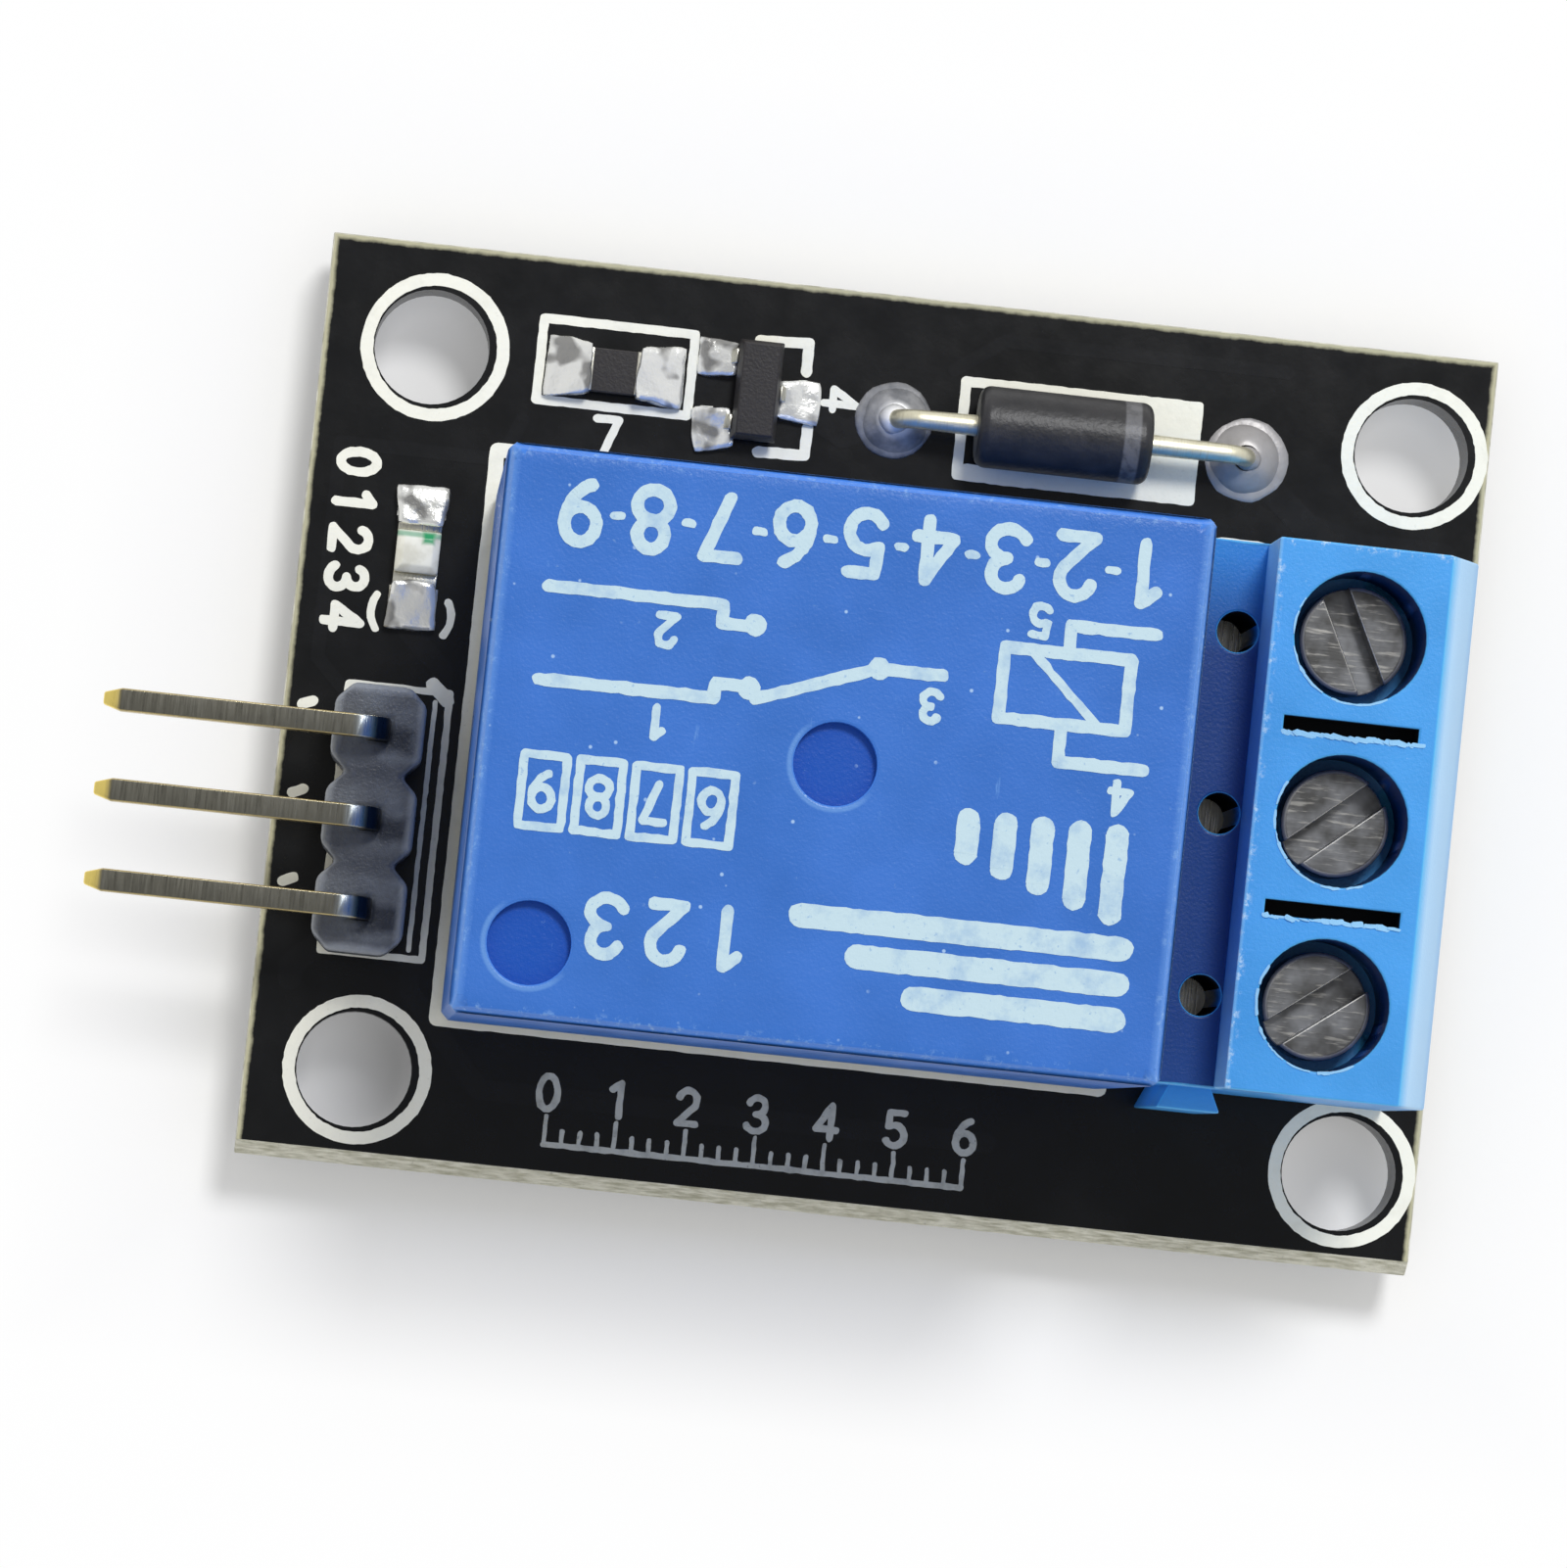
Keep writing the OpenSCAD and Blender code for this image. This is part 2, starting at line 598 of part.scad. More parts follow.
module armature() color("#a4a7ab") at_relay() released() {
    translate([leg_x, 0, hinge_z]) linear_extrude(armature_t)
        polygon([[0, -armature_w / 2], [armature_wide, -armature_w / 2],
            [armature_l, -blade_w / 2], [armature_l, blade_w / 2],
            [armature_wide, armature_w / 2], [0, armature_w / 2]]);
    for (x = pip_x) translate([leg_x + x, 0, blade_low - eps])
        cylinder(h = blade_t + rivet_h / 2 + eps, r = rivet_shank);
}

module contact_blade() color("#c98d4e") at_relay() {
    released() difference() {
        translate([leg_x - leg_gap - blade_t, -blade_w / 2, blade_low])
            cube([blade_reach + leg_gap + blade_t, blade_w, blade_t]);
        for (x = concat(pip_x, contact_arm)) translate([leg_x + x, 0, blade_low - eps])
            cylinder(h = blade_t + 2 * eps, r = rivet_shank);
    }
    translate([leg_x - leg_gap - blade_t, -blade_w / 2, yoke_top - blade_leg])
        cube([blade_t, blade_w, blade_leg + magnet_gap + armature_t + blade_t / 2]);
}

module moving_contact() color("#d9d9d2") at_relay() released() translate([contact_x, 0, blade_low]) {
    translate([0, 0, -rivet_h]) cylinder(h = rivet_h, r = rivet_r);
    translate([0, 0, -eps]) cylinder(h = blade_t + 2 * eps, r = rivet_shank);
    translate([0, 0, blade_t]) cylinder(h = rivet_h, r = rivet_r);
}

// pin, post and arm of one fixed contact; side is +1 or -1 along Y
module fixed_contact(side, arm_low, rivet_low) {
    at = [relay_x + contact_x, relay_y + side * pair_y];
    lead(at, flat_pin, -lead_out, board_t + base_top + eps);
    at_relay() {
        translate([contact_x, side * pair_y, base_top])
            block(relay_pin_t, relay_pin_w, arm_low - base_top + arm_t);
        translate([contact_x, side * (pair_y + relay_pin_w / 2 - arm_w / 2) / 2, arm_low])
            block(arm_w, pair_y + relay_pin_w / 2 + arm_w / 2, arm_t);
        translate([contact_x, 0, rivet_low]) cylinder(h = rivet_h, r = rivet_r);
    }
}

module open_contact() color("#c7a66b") fixed_contact(1, open_top - rivet_h - arm_t, open_top - rivet_h);
module closed_contact() color("#c7a66b") fixed_contact(-1, closed_arm, closed_low);

// ---------- screw terminal ----------

// joining rib seen from above, grown by a gap for its groove
module rib_outline(g) polygon([[-rib_root / 2 - g, eps], [rib_root / 2 + g, eps],
    [rib_tip / 2 + g, -rib_out - g], [-rib_tip / 2 - g, -rib_out - g]]);

// all the room that one pole takes in the housing
module pole_room() {
    translate([0, 0, shoulder_top]) cylinder(h = term_h - shoulder_top + eps, d = well_d);
    cylinder(h = term_h, d = shank_d + 2 * run_gap);
    translate([0, 0, -eps]) block(2 * shaft_half, clamp_w + 2 * slide_gap, shaft_top + eps);
    translate([-leg_back - tongue_t / 2, -tongue_w / 2, -eps])
        cube([leg_back + tongue_t / 2, tongue_w, tongue_top + eps]);
    translate([-leg_back, 0, tongue_top - eps]) cylinder(h = term_h, d = probe_d);
    wire_entry();
}

module wire_entry() {
    out = term_front + eps;
    intersection() {
        along_y(pole_pitch) polygon([[0, entry_low], [throat_x, entry_low], [out, entry_low - funnel_out],
            [out, tongue_top + funnel_up], [throat_x, tongue_top], [0, tongue_top]]);
        linear_extrude(term_h) polygon([[0, -entry_w / 2], [throat_x, -entry_w / 2],
            [out, -entry_w / 2 - funnel_out], [out, entry_w / 2 + funnel_out],
            [throat_x, entry_w / 2], [0, entry_w / 2]]);
    }
}

module terminal_housing() color("#4aa0e6") translate([screw_x, term_y, board_t]) difference() {
    union() {
        along_y(term_w) polygon([[-term_rear, 0], [term_front, 0], [term_front, term_h - front_cut_z],
            [term_front - front_cut_x, term_h], [-term_step, term_h], [-term_step, ledge_h],
            [-term_rear, ledge_h]]);
        translate([rib_back - term_rear, -term_w / 2, 0]) linear_extrude(rib_h) rib_outline(0);
    }
    for (i = [1:poles]) translate([0, (2 - i) * pole_pitch, 0]) pole_room();
    for (side = [-1, 1]) translate([0, side * pole_pitch / 2, term_h - mark_deep])
        block(mark_l, mark_w, mark_deep + eps);
    translate([rib_back - term_rear, term_w / 2, -eps]) linear_extrude(rib_h + rib_gap)
        rib_outline(rib_gap);
}

module terminal_screw(i) color("#8d9092") at_pole(i) difference() {
    rotate_extrude() polygon([[0, shank_low], [shank_d / 2, shank_low], [shank_d / 2, head_low],
        [head_d / 2, head_low], [head_d / 2, head_top - solder_skin],
        [head_d / 2 - solder_skin, head_top], [0, head_top]]);
    rotate(screw_turn[i - 1]) translate([0, 0, head_top - slot_deep])
        block(head_d + eps, slot_w, slot_deep + eps);
}

module wire_clamp(i) color("#c4c7ca") at_pole(i) translate([0, 0, clamp_foot]) difference() {
    block(clamp_d, clamp_w, clamp_h);
    translate([0, 0, clamp_wall])
        block(clamp_d + 2 * eps, clamp_w - 2 * clamp_wall, clamp_h - clamp_head - clamp_wall);
    translate([0, 0, clamp_h - clamp_head - eps])
        cylinder(h = clamp_head + 2 * eps, d = shank_d + 2 * run_gap);
}

module terminal_pin(i) color("#cfd2d4") {
    at_pole(i) along_y(tongue_w) polygon([[-leg_back - tongue_t / 2, leg_low],
        [-leg_back + tongue_t / 2, leg_low], [-leg_back + tongue_t / 2, tongue_top - tongue_t],
        [clamp_d / 2, tongue_top - tongue_t], [clamp_d / 2, tongue_top],
        [-leg_back - tongue_t / 2, tongue_top]]);
    lead(terminal_leads[i - 1][0], tongue_pin, -lead_out, board_t + leg_low + eps);
}

// ---------- pin header ----------

module header_insulator() color("#2b2e31") difference() {
    for (i = [1:poles]) on_board([header_x, pin_y(i)])
        linear_extrude(cell_h) cut_rect(cell_w, pin_pitch, cell_cut);
    for (l = header_leads) lead(l[0], square_pin, 0, board_t + cell_h + eps);
}

module header_pin(i) color("#b9a665") {
    axis_z = board_t + pin_rise;
    translate([header_x, pin_y(i), 0]) {
        translate([0, 0, -lead_out]) block(pin_w, pin_w, axis_z - bend_r + lead_out);
        translate([-bend_r, 0, axis_z - bend_r]) rotate([90, 0, 0]) rotate_extrude(angle = 90)
            translate([bend_r - pin_w / 2, -pin_w / 2]) square(pin_w);
    }
    translate([tip_x + tip_l, pin_y(i) - pin_w / 2, axis_z - pin_w / 2])
        cube([header_x - bend_r - tip_x - tip_l, pin_w, pin_w]);
    translate([tip_x + tip_l, pin_y(i), axis_z]) taper(tip_l, pin_w, tip_w);
}

// ---------- chip parts ----------

module chip_core(l, w, h) translate([0, 0, cap_t]) block(l - 2 * cap_t, w, h - 2 * cap_t);

module chip_ends(l, w, h) difference() {
    for (side = [-1, 1]) translate([side * (l - cap_l) / 2, 0, 0]) block(cap_l, w, h);
    chip_core(l, w + eps, h);
}

// solder ramp that climbs a chip's end at x = 0
module fillet(l, w, h) along_y(w)
    polygon([[0, 0], [l, 0], [0.55 * l, 0.2 * h], [0.25 * l, 0.5 * h], [0, h]]);

module resistor_body() color("#26282a") on_board(resistor_at) chip_core(resistor_l, resistor_w, resistor_h);
module resistor_ends() color("#c9cbcc") on_board(resistor_at) chip_ends(resistor_l, resistor_w, resistor_h);

module lamp_base() color("#efe9d2") on_board(lamp_at) rotate(90) chip_core(lamp_l, lamp_w, lamp_base_h);
module lamp_ends() color("#d8c98e") on_board(lamp_at) rotate(90) chip_ends(lamp_l, lamp_w, lamp_base_h);
module lamp_lens() color("#f4f1de") on_board(lamp_at)
    translate([0, 0, lamp_base_h - cap_t]) intersection() {
        along_y(lens_l) cut_top(lamp_w, lamp_lens_h + cap_t, 0.4 * lamp_lens_h);
        along_x(lamp_w) cut_top(lens_l, lamp_lens_h + cap_t, 0.4 * lamp_lens_h);
    }

module transistor_body() color("#222426") on_board(transistor_at)
    translate([0, 0, transistor_gap]) intersection() {
        along_y(transistor_l) moulded(transistor_w, transistor_h);
        along_x(transistor_w) moulded(transistor_l, transistor_h);
    }

// section of a moulded body, widest at its parting line
module moulded(w, h) polygon([[leg_t - w / 2, 0], [w / 2 - leg_t, 0], [w / 2, h / 2],
    [w / 2 - leg_t, h], [leg_t - w / 2, h], [-w / 2, h / 2]]);

// bent lead from the body's parting line down to the board, along +X
module gull_lead() {
    root = transistor_w / 2;
    knee = (transistor_span / 2 + root) / 2;
    toe = transistor_span / 2;
    high = transistor_gap + transistor_h / 2;
    along_y(leg_w) polygon([[root, high], [root, high - leg_t], [knee - leg_t, 0], [toe, 0],
        [toe, leg_t], [knee, leg_t], [root + leg_t / 2, high]]);
}

module transistor_leads() color("#c9cbcc") on_board(transistor_at) {
    gull_lead();
    for (side = [-1, 1]) translate([0, side * transistor_pitch / 2, 0]) rotate(180) gull_lead();
}

module chip_solder() color("#d5d7d8") {
    for (side = [0, 180]) on_board(resistor_at) rotate(side) translate([resistor_l / 2, 0, 0])
        fillet(fillet_l, fillet_w, fillet_h);
    for (side = [90, 270]) on_board(lamp_at) rotate(side) translate([lamp_l / 2, 0, 0])
        fillet(fillet_l, fillet_w, lamp_base_h);
    on_board(transistor_at) toe_solder();
    for (side = [-1, 1]) on_board(transistor_at) translate([0, side * transistor_pitch / 2, 0])
        rotate(180) toe_solder();
}

module toe_solder() translate([transistor_span / 2, 0, 0]) fillet(fillet_l / 2, 2 * leg_w, leg_t);

// ---------- diode ----------

module diode_body() color("#1d1f21")
    translate([diode_at.x + diode_shift, diode_at.y, board_t + diode_d / 2])
    rotate([0, 90, 0]) rotate_extrude() polygon([[0, -diode_l / 2], [diode_d / 2 - diode_cut, -diode_l / 2],
        [diode_d / 2, diode_cut - diode_l / 2], [diode_d / 2, diode_l / 2 - diode_cut],
        [diode_d / 2 - diode_cut, diode_l / 2], [0, diode_l / 2]]);

module diode_wires() color("#c9cbcc") for (side = [0, 180])
    translate([diode_at.x, diode_at.y, board_t + diode_d / 2]) rotate(side)
        diode_wire(diode_l / 2 + (side == 0 ? diode_shift : -diode_shift));

// one wire from the body's end, over its bend and down through the board
module diode_wire(from) {
    end = diode_pitch / 2;
    translate([from, 0, 0]) rotate([0, 90, 0]) cylinder(h = end - wire_bend - from, d = wire_d);
    translate([end - wire_bend, 0, -wire_bend]) rotate([90, 0, 0]) rotate_extrude(angle = 90)
        translate([wire_bend, 0]) circle(d = wire_d);
    translate([end, 0, -board_t - diode_d / 2 - lead_out])
        cylinder(h = board_t + diode_d / 2 + lead_out - wire_bend, d = wire_d);
}

// ---------- through-hole solder ----------

module diode_solder() color("#d5d7d8") {
    for (l = diode_leads) joint(l[0], l[1]);
    difference() {
        for (l = diode_leads) on_board(l[0]) intersection() {
            translate([0, 0, dome_h - dome_ball()]) sphere(r = dome_ball());
            cylinder(h = dome_h, r = dome_r + eps);
        }
        diode_wires();
    }
}

module relay_solder() color("#d5d7d8") for (l = relay_leads) joint(l[0], l[1]);
module terminal_solder() color("#d5d7d8") for (l = terminal_leads) joint(l[0], l[1]);
module header_solder() color("#d5d7d8") for (l = header_leads) joint(l[0], l[1]);

circuit_board();
relay_cover();
relay_base();
coil_bobbin();
coil_winding();
iron_core();
yoke();
coil_pins();
armature();
contact_blade();
moving_contact();
open_contact();
closed_contact();
terminal_housing();
for (i = [1:poles]) {
    terminal_screw(i);
    wire_clamp(i);
    terminal_pin(i);
    header_pin(i);
}
header_insulator();
resistor_body();
resistor_ends();
lamp_base();
lamp_lens();
lamp_ends();
transistor_body();
transistor_leads();
diode_body();
diode_wires();
chip_solder();
diode_solder();
relay_solder();
terminal_solder();
header_solder();
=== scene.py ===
# Finishes, small trim and the studio for the relay module
import json
import math
import random

import bmesh
import bpy
from mathutils import Matrix, Vector, noise

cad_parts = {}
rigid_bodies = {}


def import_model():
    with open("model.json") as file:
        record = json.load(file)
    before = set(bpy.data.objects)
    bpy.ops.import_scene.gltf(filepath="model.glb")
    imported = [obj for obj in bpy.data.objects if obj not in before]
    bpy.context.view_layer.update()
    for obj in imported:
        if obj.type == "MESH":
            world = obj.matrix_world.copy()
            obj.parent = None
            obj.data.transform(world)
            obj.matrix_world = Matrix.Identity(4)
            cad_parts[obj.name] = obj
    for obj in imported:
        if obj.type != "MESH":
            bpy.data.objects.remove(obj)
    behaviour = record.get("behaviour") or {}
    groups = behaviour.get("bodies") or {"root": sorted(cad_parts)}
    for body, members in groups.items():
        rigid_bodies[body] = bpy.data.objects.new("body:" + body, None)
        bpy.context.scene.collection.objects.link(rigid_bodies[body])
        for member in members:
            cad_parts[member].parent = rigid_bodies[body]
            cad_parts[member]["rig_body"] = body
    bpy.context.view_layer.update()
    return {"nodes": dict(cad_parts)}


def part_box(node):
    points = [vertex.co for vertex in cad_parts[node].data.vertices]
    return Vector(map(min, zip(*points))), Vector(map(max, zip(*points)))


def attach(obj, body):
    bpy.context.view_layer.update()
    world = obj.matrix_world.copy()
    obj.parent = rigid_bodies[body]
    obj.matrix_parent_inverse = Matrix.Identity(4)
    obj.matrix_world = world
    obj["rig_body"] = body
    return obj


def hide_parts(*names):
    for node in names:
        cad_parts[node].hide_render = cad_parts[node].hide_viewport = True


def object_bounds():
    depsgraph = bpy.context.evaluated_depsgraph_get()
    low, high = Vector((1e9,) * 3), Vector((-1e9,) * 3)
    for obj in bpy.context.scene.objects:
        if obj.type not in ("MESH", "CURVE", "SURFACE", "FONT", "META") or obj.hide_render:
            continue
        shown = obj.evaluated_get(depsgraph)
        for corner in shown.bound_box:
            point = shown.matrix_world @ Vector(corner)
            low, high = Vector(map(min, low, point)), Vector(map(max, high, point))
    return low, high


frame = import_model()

mm = 0.001
print("stage: frame loaded")


# shader maths

def paint(red, green, blue):  # 0 to 255 as seen on a screen, to the shader's own colour
    seen = [value / 255 for value in (red, green, blue)]
    return tuple(v / 12.92 if v <= 0.04045 else ((v + 0.055) / 1.055) ** 2.4 for v in seen) + (1,)


def shade(tone, times, more=0):  # a lighter or darker kind of the same colour
    return tuple(min(255, part * times + more) for part in tone)


def plug(tree, socket, value):
    if isinstance(value, Wire):
        tree.links.new(value.socket, socket)
    elif value is not None:
        socket.default_value = value


def maths(operation, turned=False):  # one sum as a method, turned where the socket stands second
    def method(self, other=None):
        step = self.tree.nodes.new("ShaderNodeMath")
        step.operation = operation
        for socket, value in zip(step.inputs, (other, self) if turned else (self, other)):
            plug(self.tree, socket, value)
        return Wire(self.tree, step.outputs[0])
    return method


class Wire:  # one output socket that sums can be written with
    def __init__(self, tree, socket):
        self.tree = tree
        self.socket = socket

    __add__, __radd__ = maths("ADD"), maths("ADD", True)
    __sub__, __rsub__ = maths("SUBTRACT"), maths("SUBTRACT", True)
    __mul__, __rmul__ = maths("MULTIPLY"), maths("MULTIPLY", True)
    __gt__, __lt__ = maths("GREATER_THAN"), maths("LESS_THAN")
    size, least, most = maths("ABSOLUTE"), maths("MINIMUM"), maths("MAXIMUM")


class Finish:  # one material, with its places in millimetres
    def __init__(self, name, **constants):
        self.material = bpy.data.materials.new(name)
        self.material.use_nodes = True
        self.tree = self.material.node_tree
        self.shader = self.tree.nodes["Principled BSDF"]
        self.base = None
        for key, value in constants.items():
            self.shader.inputs[key.replace("_", " ")].default_value = value
        spot = self.node("ShaderNodeTexCoord", {}, {}, "Object")
        self.place = self.node("ShaderNodeVectorMath", {"operation": "SCALE"}, {0: spot, 3: 1 / mm})

    def node(self, kind, settings, inputs, output=0):
        made = self.tree.nodes.new(kind)
        for key, value in settings.items():
            setattr(made, key, value)
        for key, value in inputs.items():
            plug(self.tree, made.inputs[key], value)
        return Wire(self.tree, made.outputs[output])

    def axis(self, letter):
        return self.node("ShaderNodeSeparateXYZ", {}, {0: self.place}, letter)

    def axes(self):
        return [self.axis(letter) for letter in "XYZ"]

    def facing(self):  # 1 where the surface looks up, 0 where it stands upright
        normal = self.node("ShaderNodeTexCoord", {}, {}, "Normal")
        return self.node("ShaderNodeSeparateXYZ", {}, {0: normal}, "Z")

    def stretch(self, x, y, z, turn=0.0):
        return self.node("ShaderNodeMapping", {}, {"Vector": self.place, "Scale": (x, y, z),
                                                   "Rotation": (0, 0, turn)})

    def cloud(self, scale, detail=3.0, rough=0.55, where=None, seed=0.0):
        return self.node("ShaderNodeTexNoise", {"noise_dimensions": "4D"},
                         {"Vector": where or self.place, "W": seed, "Scale": scale, "Detail": detail,
                          "Roughness": rough}, "Fac")

    def slope(self, value, low, high, start=0.0, end=1.0):
        return self.node("ShaderNodeMapRange", {"clamp": True}, {
            "Value": value, "From Min": low, "From Max": high, "To Min": start, "To Max": end})

    def flecks(self, scale, detail, rough, seed, low, high, most=1.0):  # a cloud cut down to patches
        return self.slope(self.cloud(scale, detail, rough, seed=seed), low, high, 0, most)

    def cells(self, scale):
        return self.node("ShaderNodeTexVoronoi", {"feature": "F1"}, {"Vector": self.place, "Scale": scale},
                         "Distance")

    def blend(self, under, over, share):  # colours as seen, or sockets
        under, over = [paint(*tone) if isinstance(tone, tuple) else tone for tone in (under, over)]
        return self.node("ShaderNodeMix", {"data_type": "RGBA"}, {0: share, 6: under, 7: over}, 2)

    def coat(self, over, share):  # one more layer on the base colour
        self.base = self.blend(self.base, over, share)

    def away(self, x, y):  # distance from an upright line
        kind = "ShaderNodeVectorMath"
        flat = self.node(kind, {"operation": "MULTIPLY"}, {0: self.place, 1: (1, 1, 0)})
        return self.node(kind, {"operation": "DISTANCE"}, {0: flat, 1: (x, y, 0)}, "Value")

    def bump(self, height, depth):
        return self.node("ShaderNodeBump", {}, {"Height": height, "Distance": depth * mm})

    def use(self, **links):
        plug(self.tree, self.shader.inputs["Base Color"], self.base)
        for key, value in links.items():
            plug(self.tree, self.shader.inputs[key.replace("_", " ")], value)
        return self.material


# mesh helpers

shaping = {"weld": 0.001, "flat": 1.5, "corner": 30, "sharp": 40, "lumpSharp": 60}  # weld in mm, then degrees


def bodyOf(node):
    return frame["nodes"][node]["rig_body"]


def span(node):  # lowest and highest corner in millimetres
    low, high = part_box(node)
    return low / mm, high / mm


def middle(node):
    low, high = span(node)
    return (low + high) / 2


def shapeOf(name, bm):
    shape = bpy.data.meshes.new(name)
    bm.to_mesh(shape)
    bm.free()
    return shape


def added(name, data):
    made = bpy.data.objects.new(name, data)
    bpy.context.scene.collection.objects.link(made)
    return made


def piece(name, bm, body, materials, sharp, weighted=True):
    made = added(name, shapeOf(name, bm))
    for material in materials:
        made.data.materials.append(material)
    made.data.shade_smooth()
    made.data.set_sharp_from_angle(angle=math.radians(sharp))
    if weighted:
        even = made.modifiers.new("even", "WEIGHTED_NORMAL")
        even.keep_sharp = True
    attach(made, body)
    return made


def laid(name, bm, body, material, sharp=shaping["sharp"]):  # drawn in millimetres, made a piece
    bmesh.ops.recalc_face_normals(bm, faces=bm.faces[:])
    bmesh.ops.scale(bm, vec=(mm, mm, mm), verts=bm.verts[:])
    return piece(name, bm, body, [material], sharp, weighted=False)


def copyOf(node):  # a CAD node's shape as whole faces, for finer work
    bm = bmesh.new()
    bm.from_mesh(frame["nodes"][node].data)
    bmesh.ops.remove_doubles(bm, verts=bm.verts[:], dist=shaping["weld"] * mm)
    bmesh.ops.dissolve_limit(bm, angle_limit=math.radians(shaping["flat"]), verts=bm.verts[:],
                             edges=bm.edges[:])
    return bm


def isOuter(edge):
    return edge.is_convex


def soften(bm, width, segments, pick):
    sharp = [edge for edge in bm.edges if edge.is_manifold
             and edge.calc_face_angle(0) > math.radians(shaping["corner"]) and (pick is None or pick(edge))]
    bmesh.ops.bevel(bm, geom=sharp, offset=width * mm, offset_type="OFFSET", affect="EDGES",
                    segments=segments, profile=0.5, material=-1, clamp_overlap=False)


def dressed(node, material, width, slot, segments=2, change=None, pick=None):
    bm = copyOf(node)
    if width:
        soften(bm, width, segments, pick)
    if change:
        change(bm)
    materials = material if isinstance(material, list) else [material]
    made = piece(node + "_dressed", bm, bodyOf(node), materials, shaping["sharp"])
    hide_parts(node)


def recolour(bm, number, inside):  # faces whose middle, in millimetres, and normal pass the test
    for face in bm.faces:
        if inside(face.calc_center_median() / mm, face.normal):
            face.material_index = number


# strokes: flat lines of ink, print and copper

stroke = {"thick": 0.03, "dotSides": 14, "dotDrop": 0.004, "lift": 0.00004, "barCycle": 97, "dotCycle": 83,
          "cut": 0.2, "mostCuts": 60, "shortest": 0.001, "digitStep": 0.86}


def dot(bm, at, width, top, thick=stroke["thick"]):
    place = Matrix.Translation((at[0], at[1], top - thick / 2))
    bmesh.ops.create_cone(bm, cap_ends=True, segments=stroke["dotSides"], radius1=width / 2,
                          radius2=width / 2, depth=thick, matrix=place)


def bar(bm, start, end, width, top, thick):
    run = Vector(end[:2]) - Vector(start[:2])
    if run.length < stroke["shortest"]:
        return
    centre = (Vector(start[:2]) + Vector(end[:2])) / 2
    place = Matrix.Translation((centre.x, centre.y, top - thick / 2))
    turn = Matrix.Rotation(math.atan2(run.y, run.x), 4, "Z")
    flat = Matrix.Diagonal((run.length, width, thick, 1))
    made = bmesh.ops.create_cube(bm, size=1, matrix=place @ turn @ flat)
    cuts = min(stroke["mostCuts"], int(run.length / stroke["cut"]))
    if cuts:
        long = {e for v in made["verts"] for e in v.link_edges
                if abs((e.verts[0].co - e.verts[1].co).xy.dot(run.normalized())) > run.length * 0.9}
        bmesh.ops.subdivide_edges(bm, edges=list(long), cuts=cuts, use_grid_fill=True)


def draw(bm, points, width, top, thick=stroke["thick"]):  # each lies a hair off the last, so none flickers
    lift, drop = stroke["lift"], stroke["dotDrop"]
    for start, end in zip(points, points[1:]):
        bar(bm, start, end, width, top - lift * (len(bm.faces) % stroke["barCycle"]), thick)
    for at in points:
        dot(bm, at, width, top - drop - lift * (len(bm.faces) % stroke["dotCycle"]), thick)


def arc(x, y, wide, high, start, end, steps=14):
    turns = [math.radians(start + (end - start) * i / steps) for i in range(steps + 1)]
    return [(x + wide * math.cos(a), y + high * math.sin(a)) for a in turns]


def frameOf(x0, y0, x1, y1):
    return [(x0, y0), (x1, y0), (x1, y1), (x0, y1), (x0, y0)]


numerals = {  # strokes of each digit in a box 0.6 wide and 1 high
    "0": [arc(0.3, 0.5, 0.28, 0.5, 0, 360)],
    "1": [[(0.12, 0.8), (0.36, 1), (0.36, 0)]],
    "2": [arc(0.3, 0.71, 0.27, 0.29, 165, -40) + [(0.02, 0), (0.58, 0)]],
    "3": [arc(0.28, 0.75, 0.25, 0.25, 160, -90) + arc(0.28, 0.25, 0.3, 0.25, 90, -160)],
    "4": [[(0.44, 0), (0.44, 1), (0, 0.28), (0.62, 0.28)]],
    "5": [[(0.54, 1), (0.1, 1), (0.06, 0.56)] + arc(0.28, 0.31, 0.29, 0.31, 125, -150)],
    "6": [arc(0.3, 0.3, 0.27, 0.3, 0, 360), arc(0.62, 0.3, 0.59, 0.7, 180, 108)],
    "7": [[(0.02, 1), (0.58, 1), (0.22, 0)]],
    "8": [arc(0.3, 0.75, 0.23, 0.25, 0, 360), arc(0.3, 0.26, 0.28, 0.26, 0, 360)],
    "9": [arc(0.3, 0.7, 0.27, 0.3, 0, 360), arc(-0.02, 0.7, 0.59, 0.7, 0, -72)],
}


def write(bm, digits, at, high, width, top, turn=0, step=stroke["digitStep"]):
    place = Matrix.Translation((at[0], at[1], 0)) @ Matrix.Rotation(math.radians(turn), 4, "Z")
    for i, digit in enumerate(digits):
        for line in numerals.get(digit, []):
            spots = [place @ Vector(((x + step * i) * high, y * high, 0)) for x, y in line]
            draw(bm, spots, width, top)


def ring(bm, at, inner, outer, low, high, steps):
    x, y = at
    corners = [(inner, low), (outer, low), (outer, high), (inner, high)]
    verts = [bm.verts.new((x + r, y, z)) for r, z in corners]
    edges = [bm.edges.new((verts[i], verts[i - 1])) for i in range(4)]
    bmesh.ops.spin(bm, geom=verts + edges, cent=(x, y, 0), axis=(0, 0, 1), angle=2 * math.pi, steps=steps,
                   use_merge=True)


def ragged(bm, amount, scale=1.6):  # the uneven rim that ink leaves
    for vert in bm.verts:
        drift = 0.25 * noise.noise_vector(vert.co * scale) + noise.noise_vector(vert.co * scale * 4.1)
        vert.co += Vector((drift.x, drift.y, 0)) * amount


# finishes that several pieces share

plastic = {"dark": 0.97, "light": 1.03, "rimMore": 14, "rimShare": 0.6, "dustTone": (0.7, 70),
           "dust": (4.0, 6, 0.7, 0.0, 0.65, 0.71)}


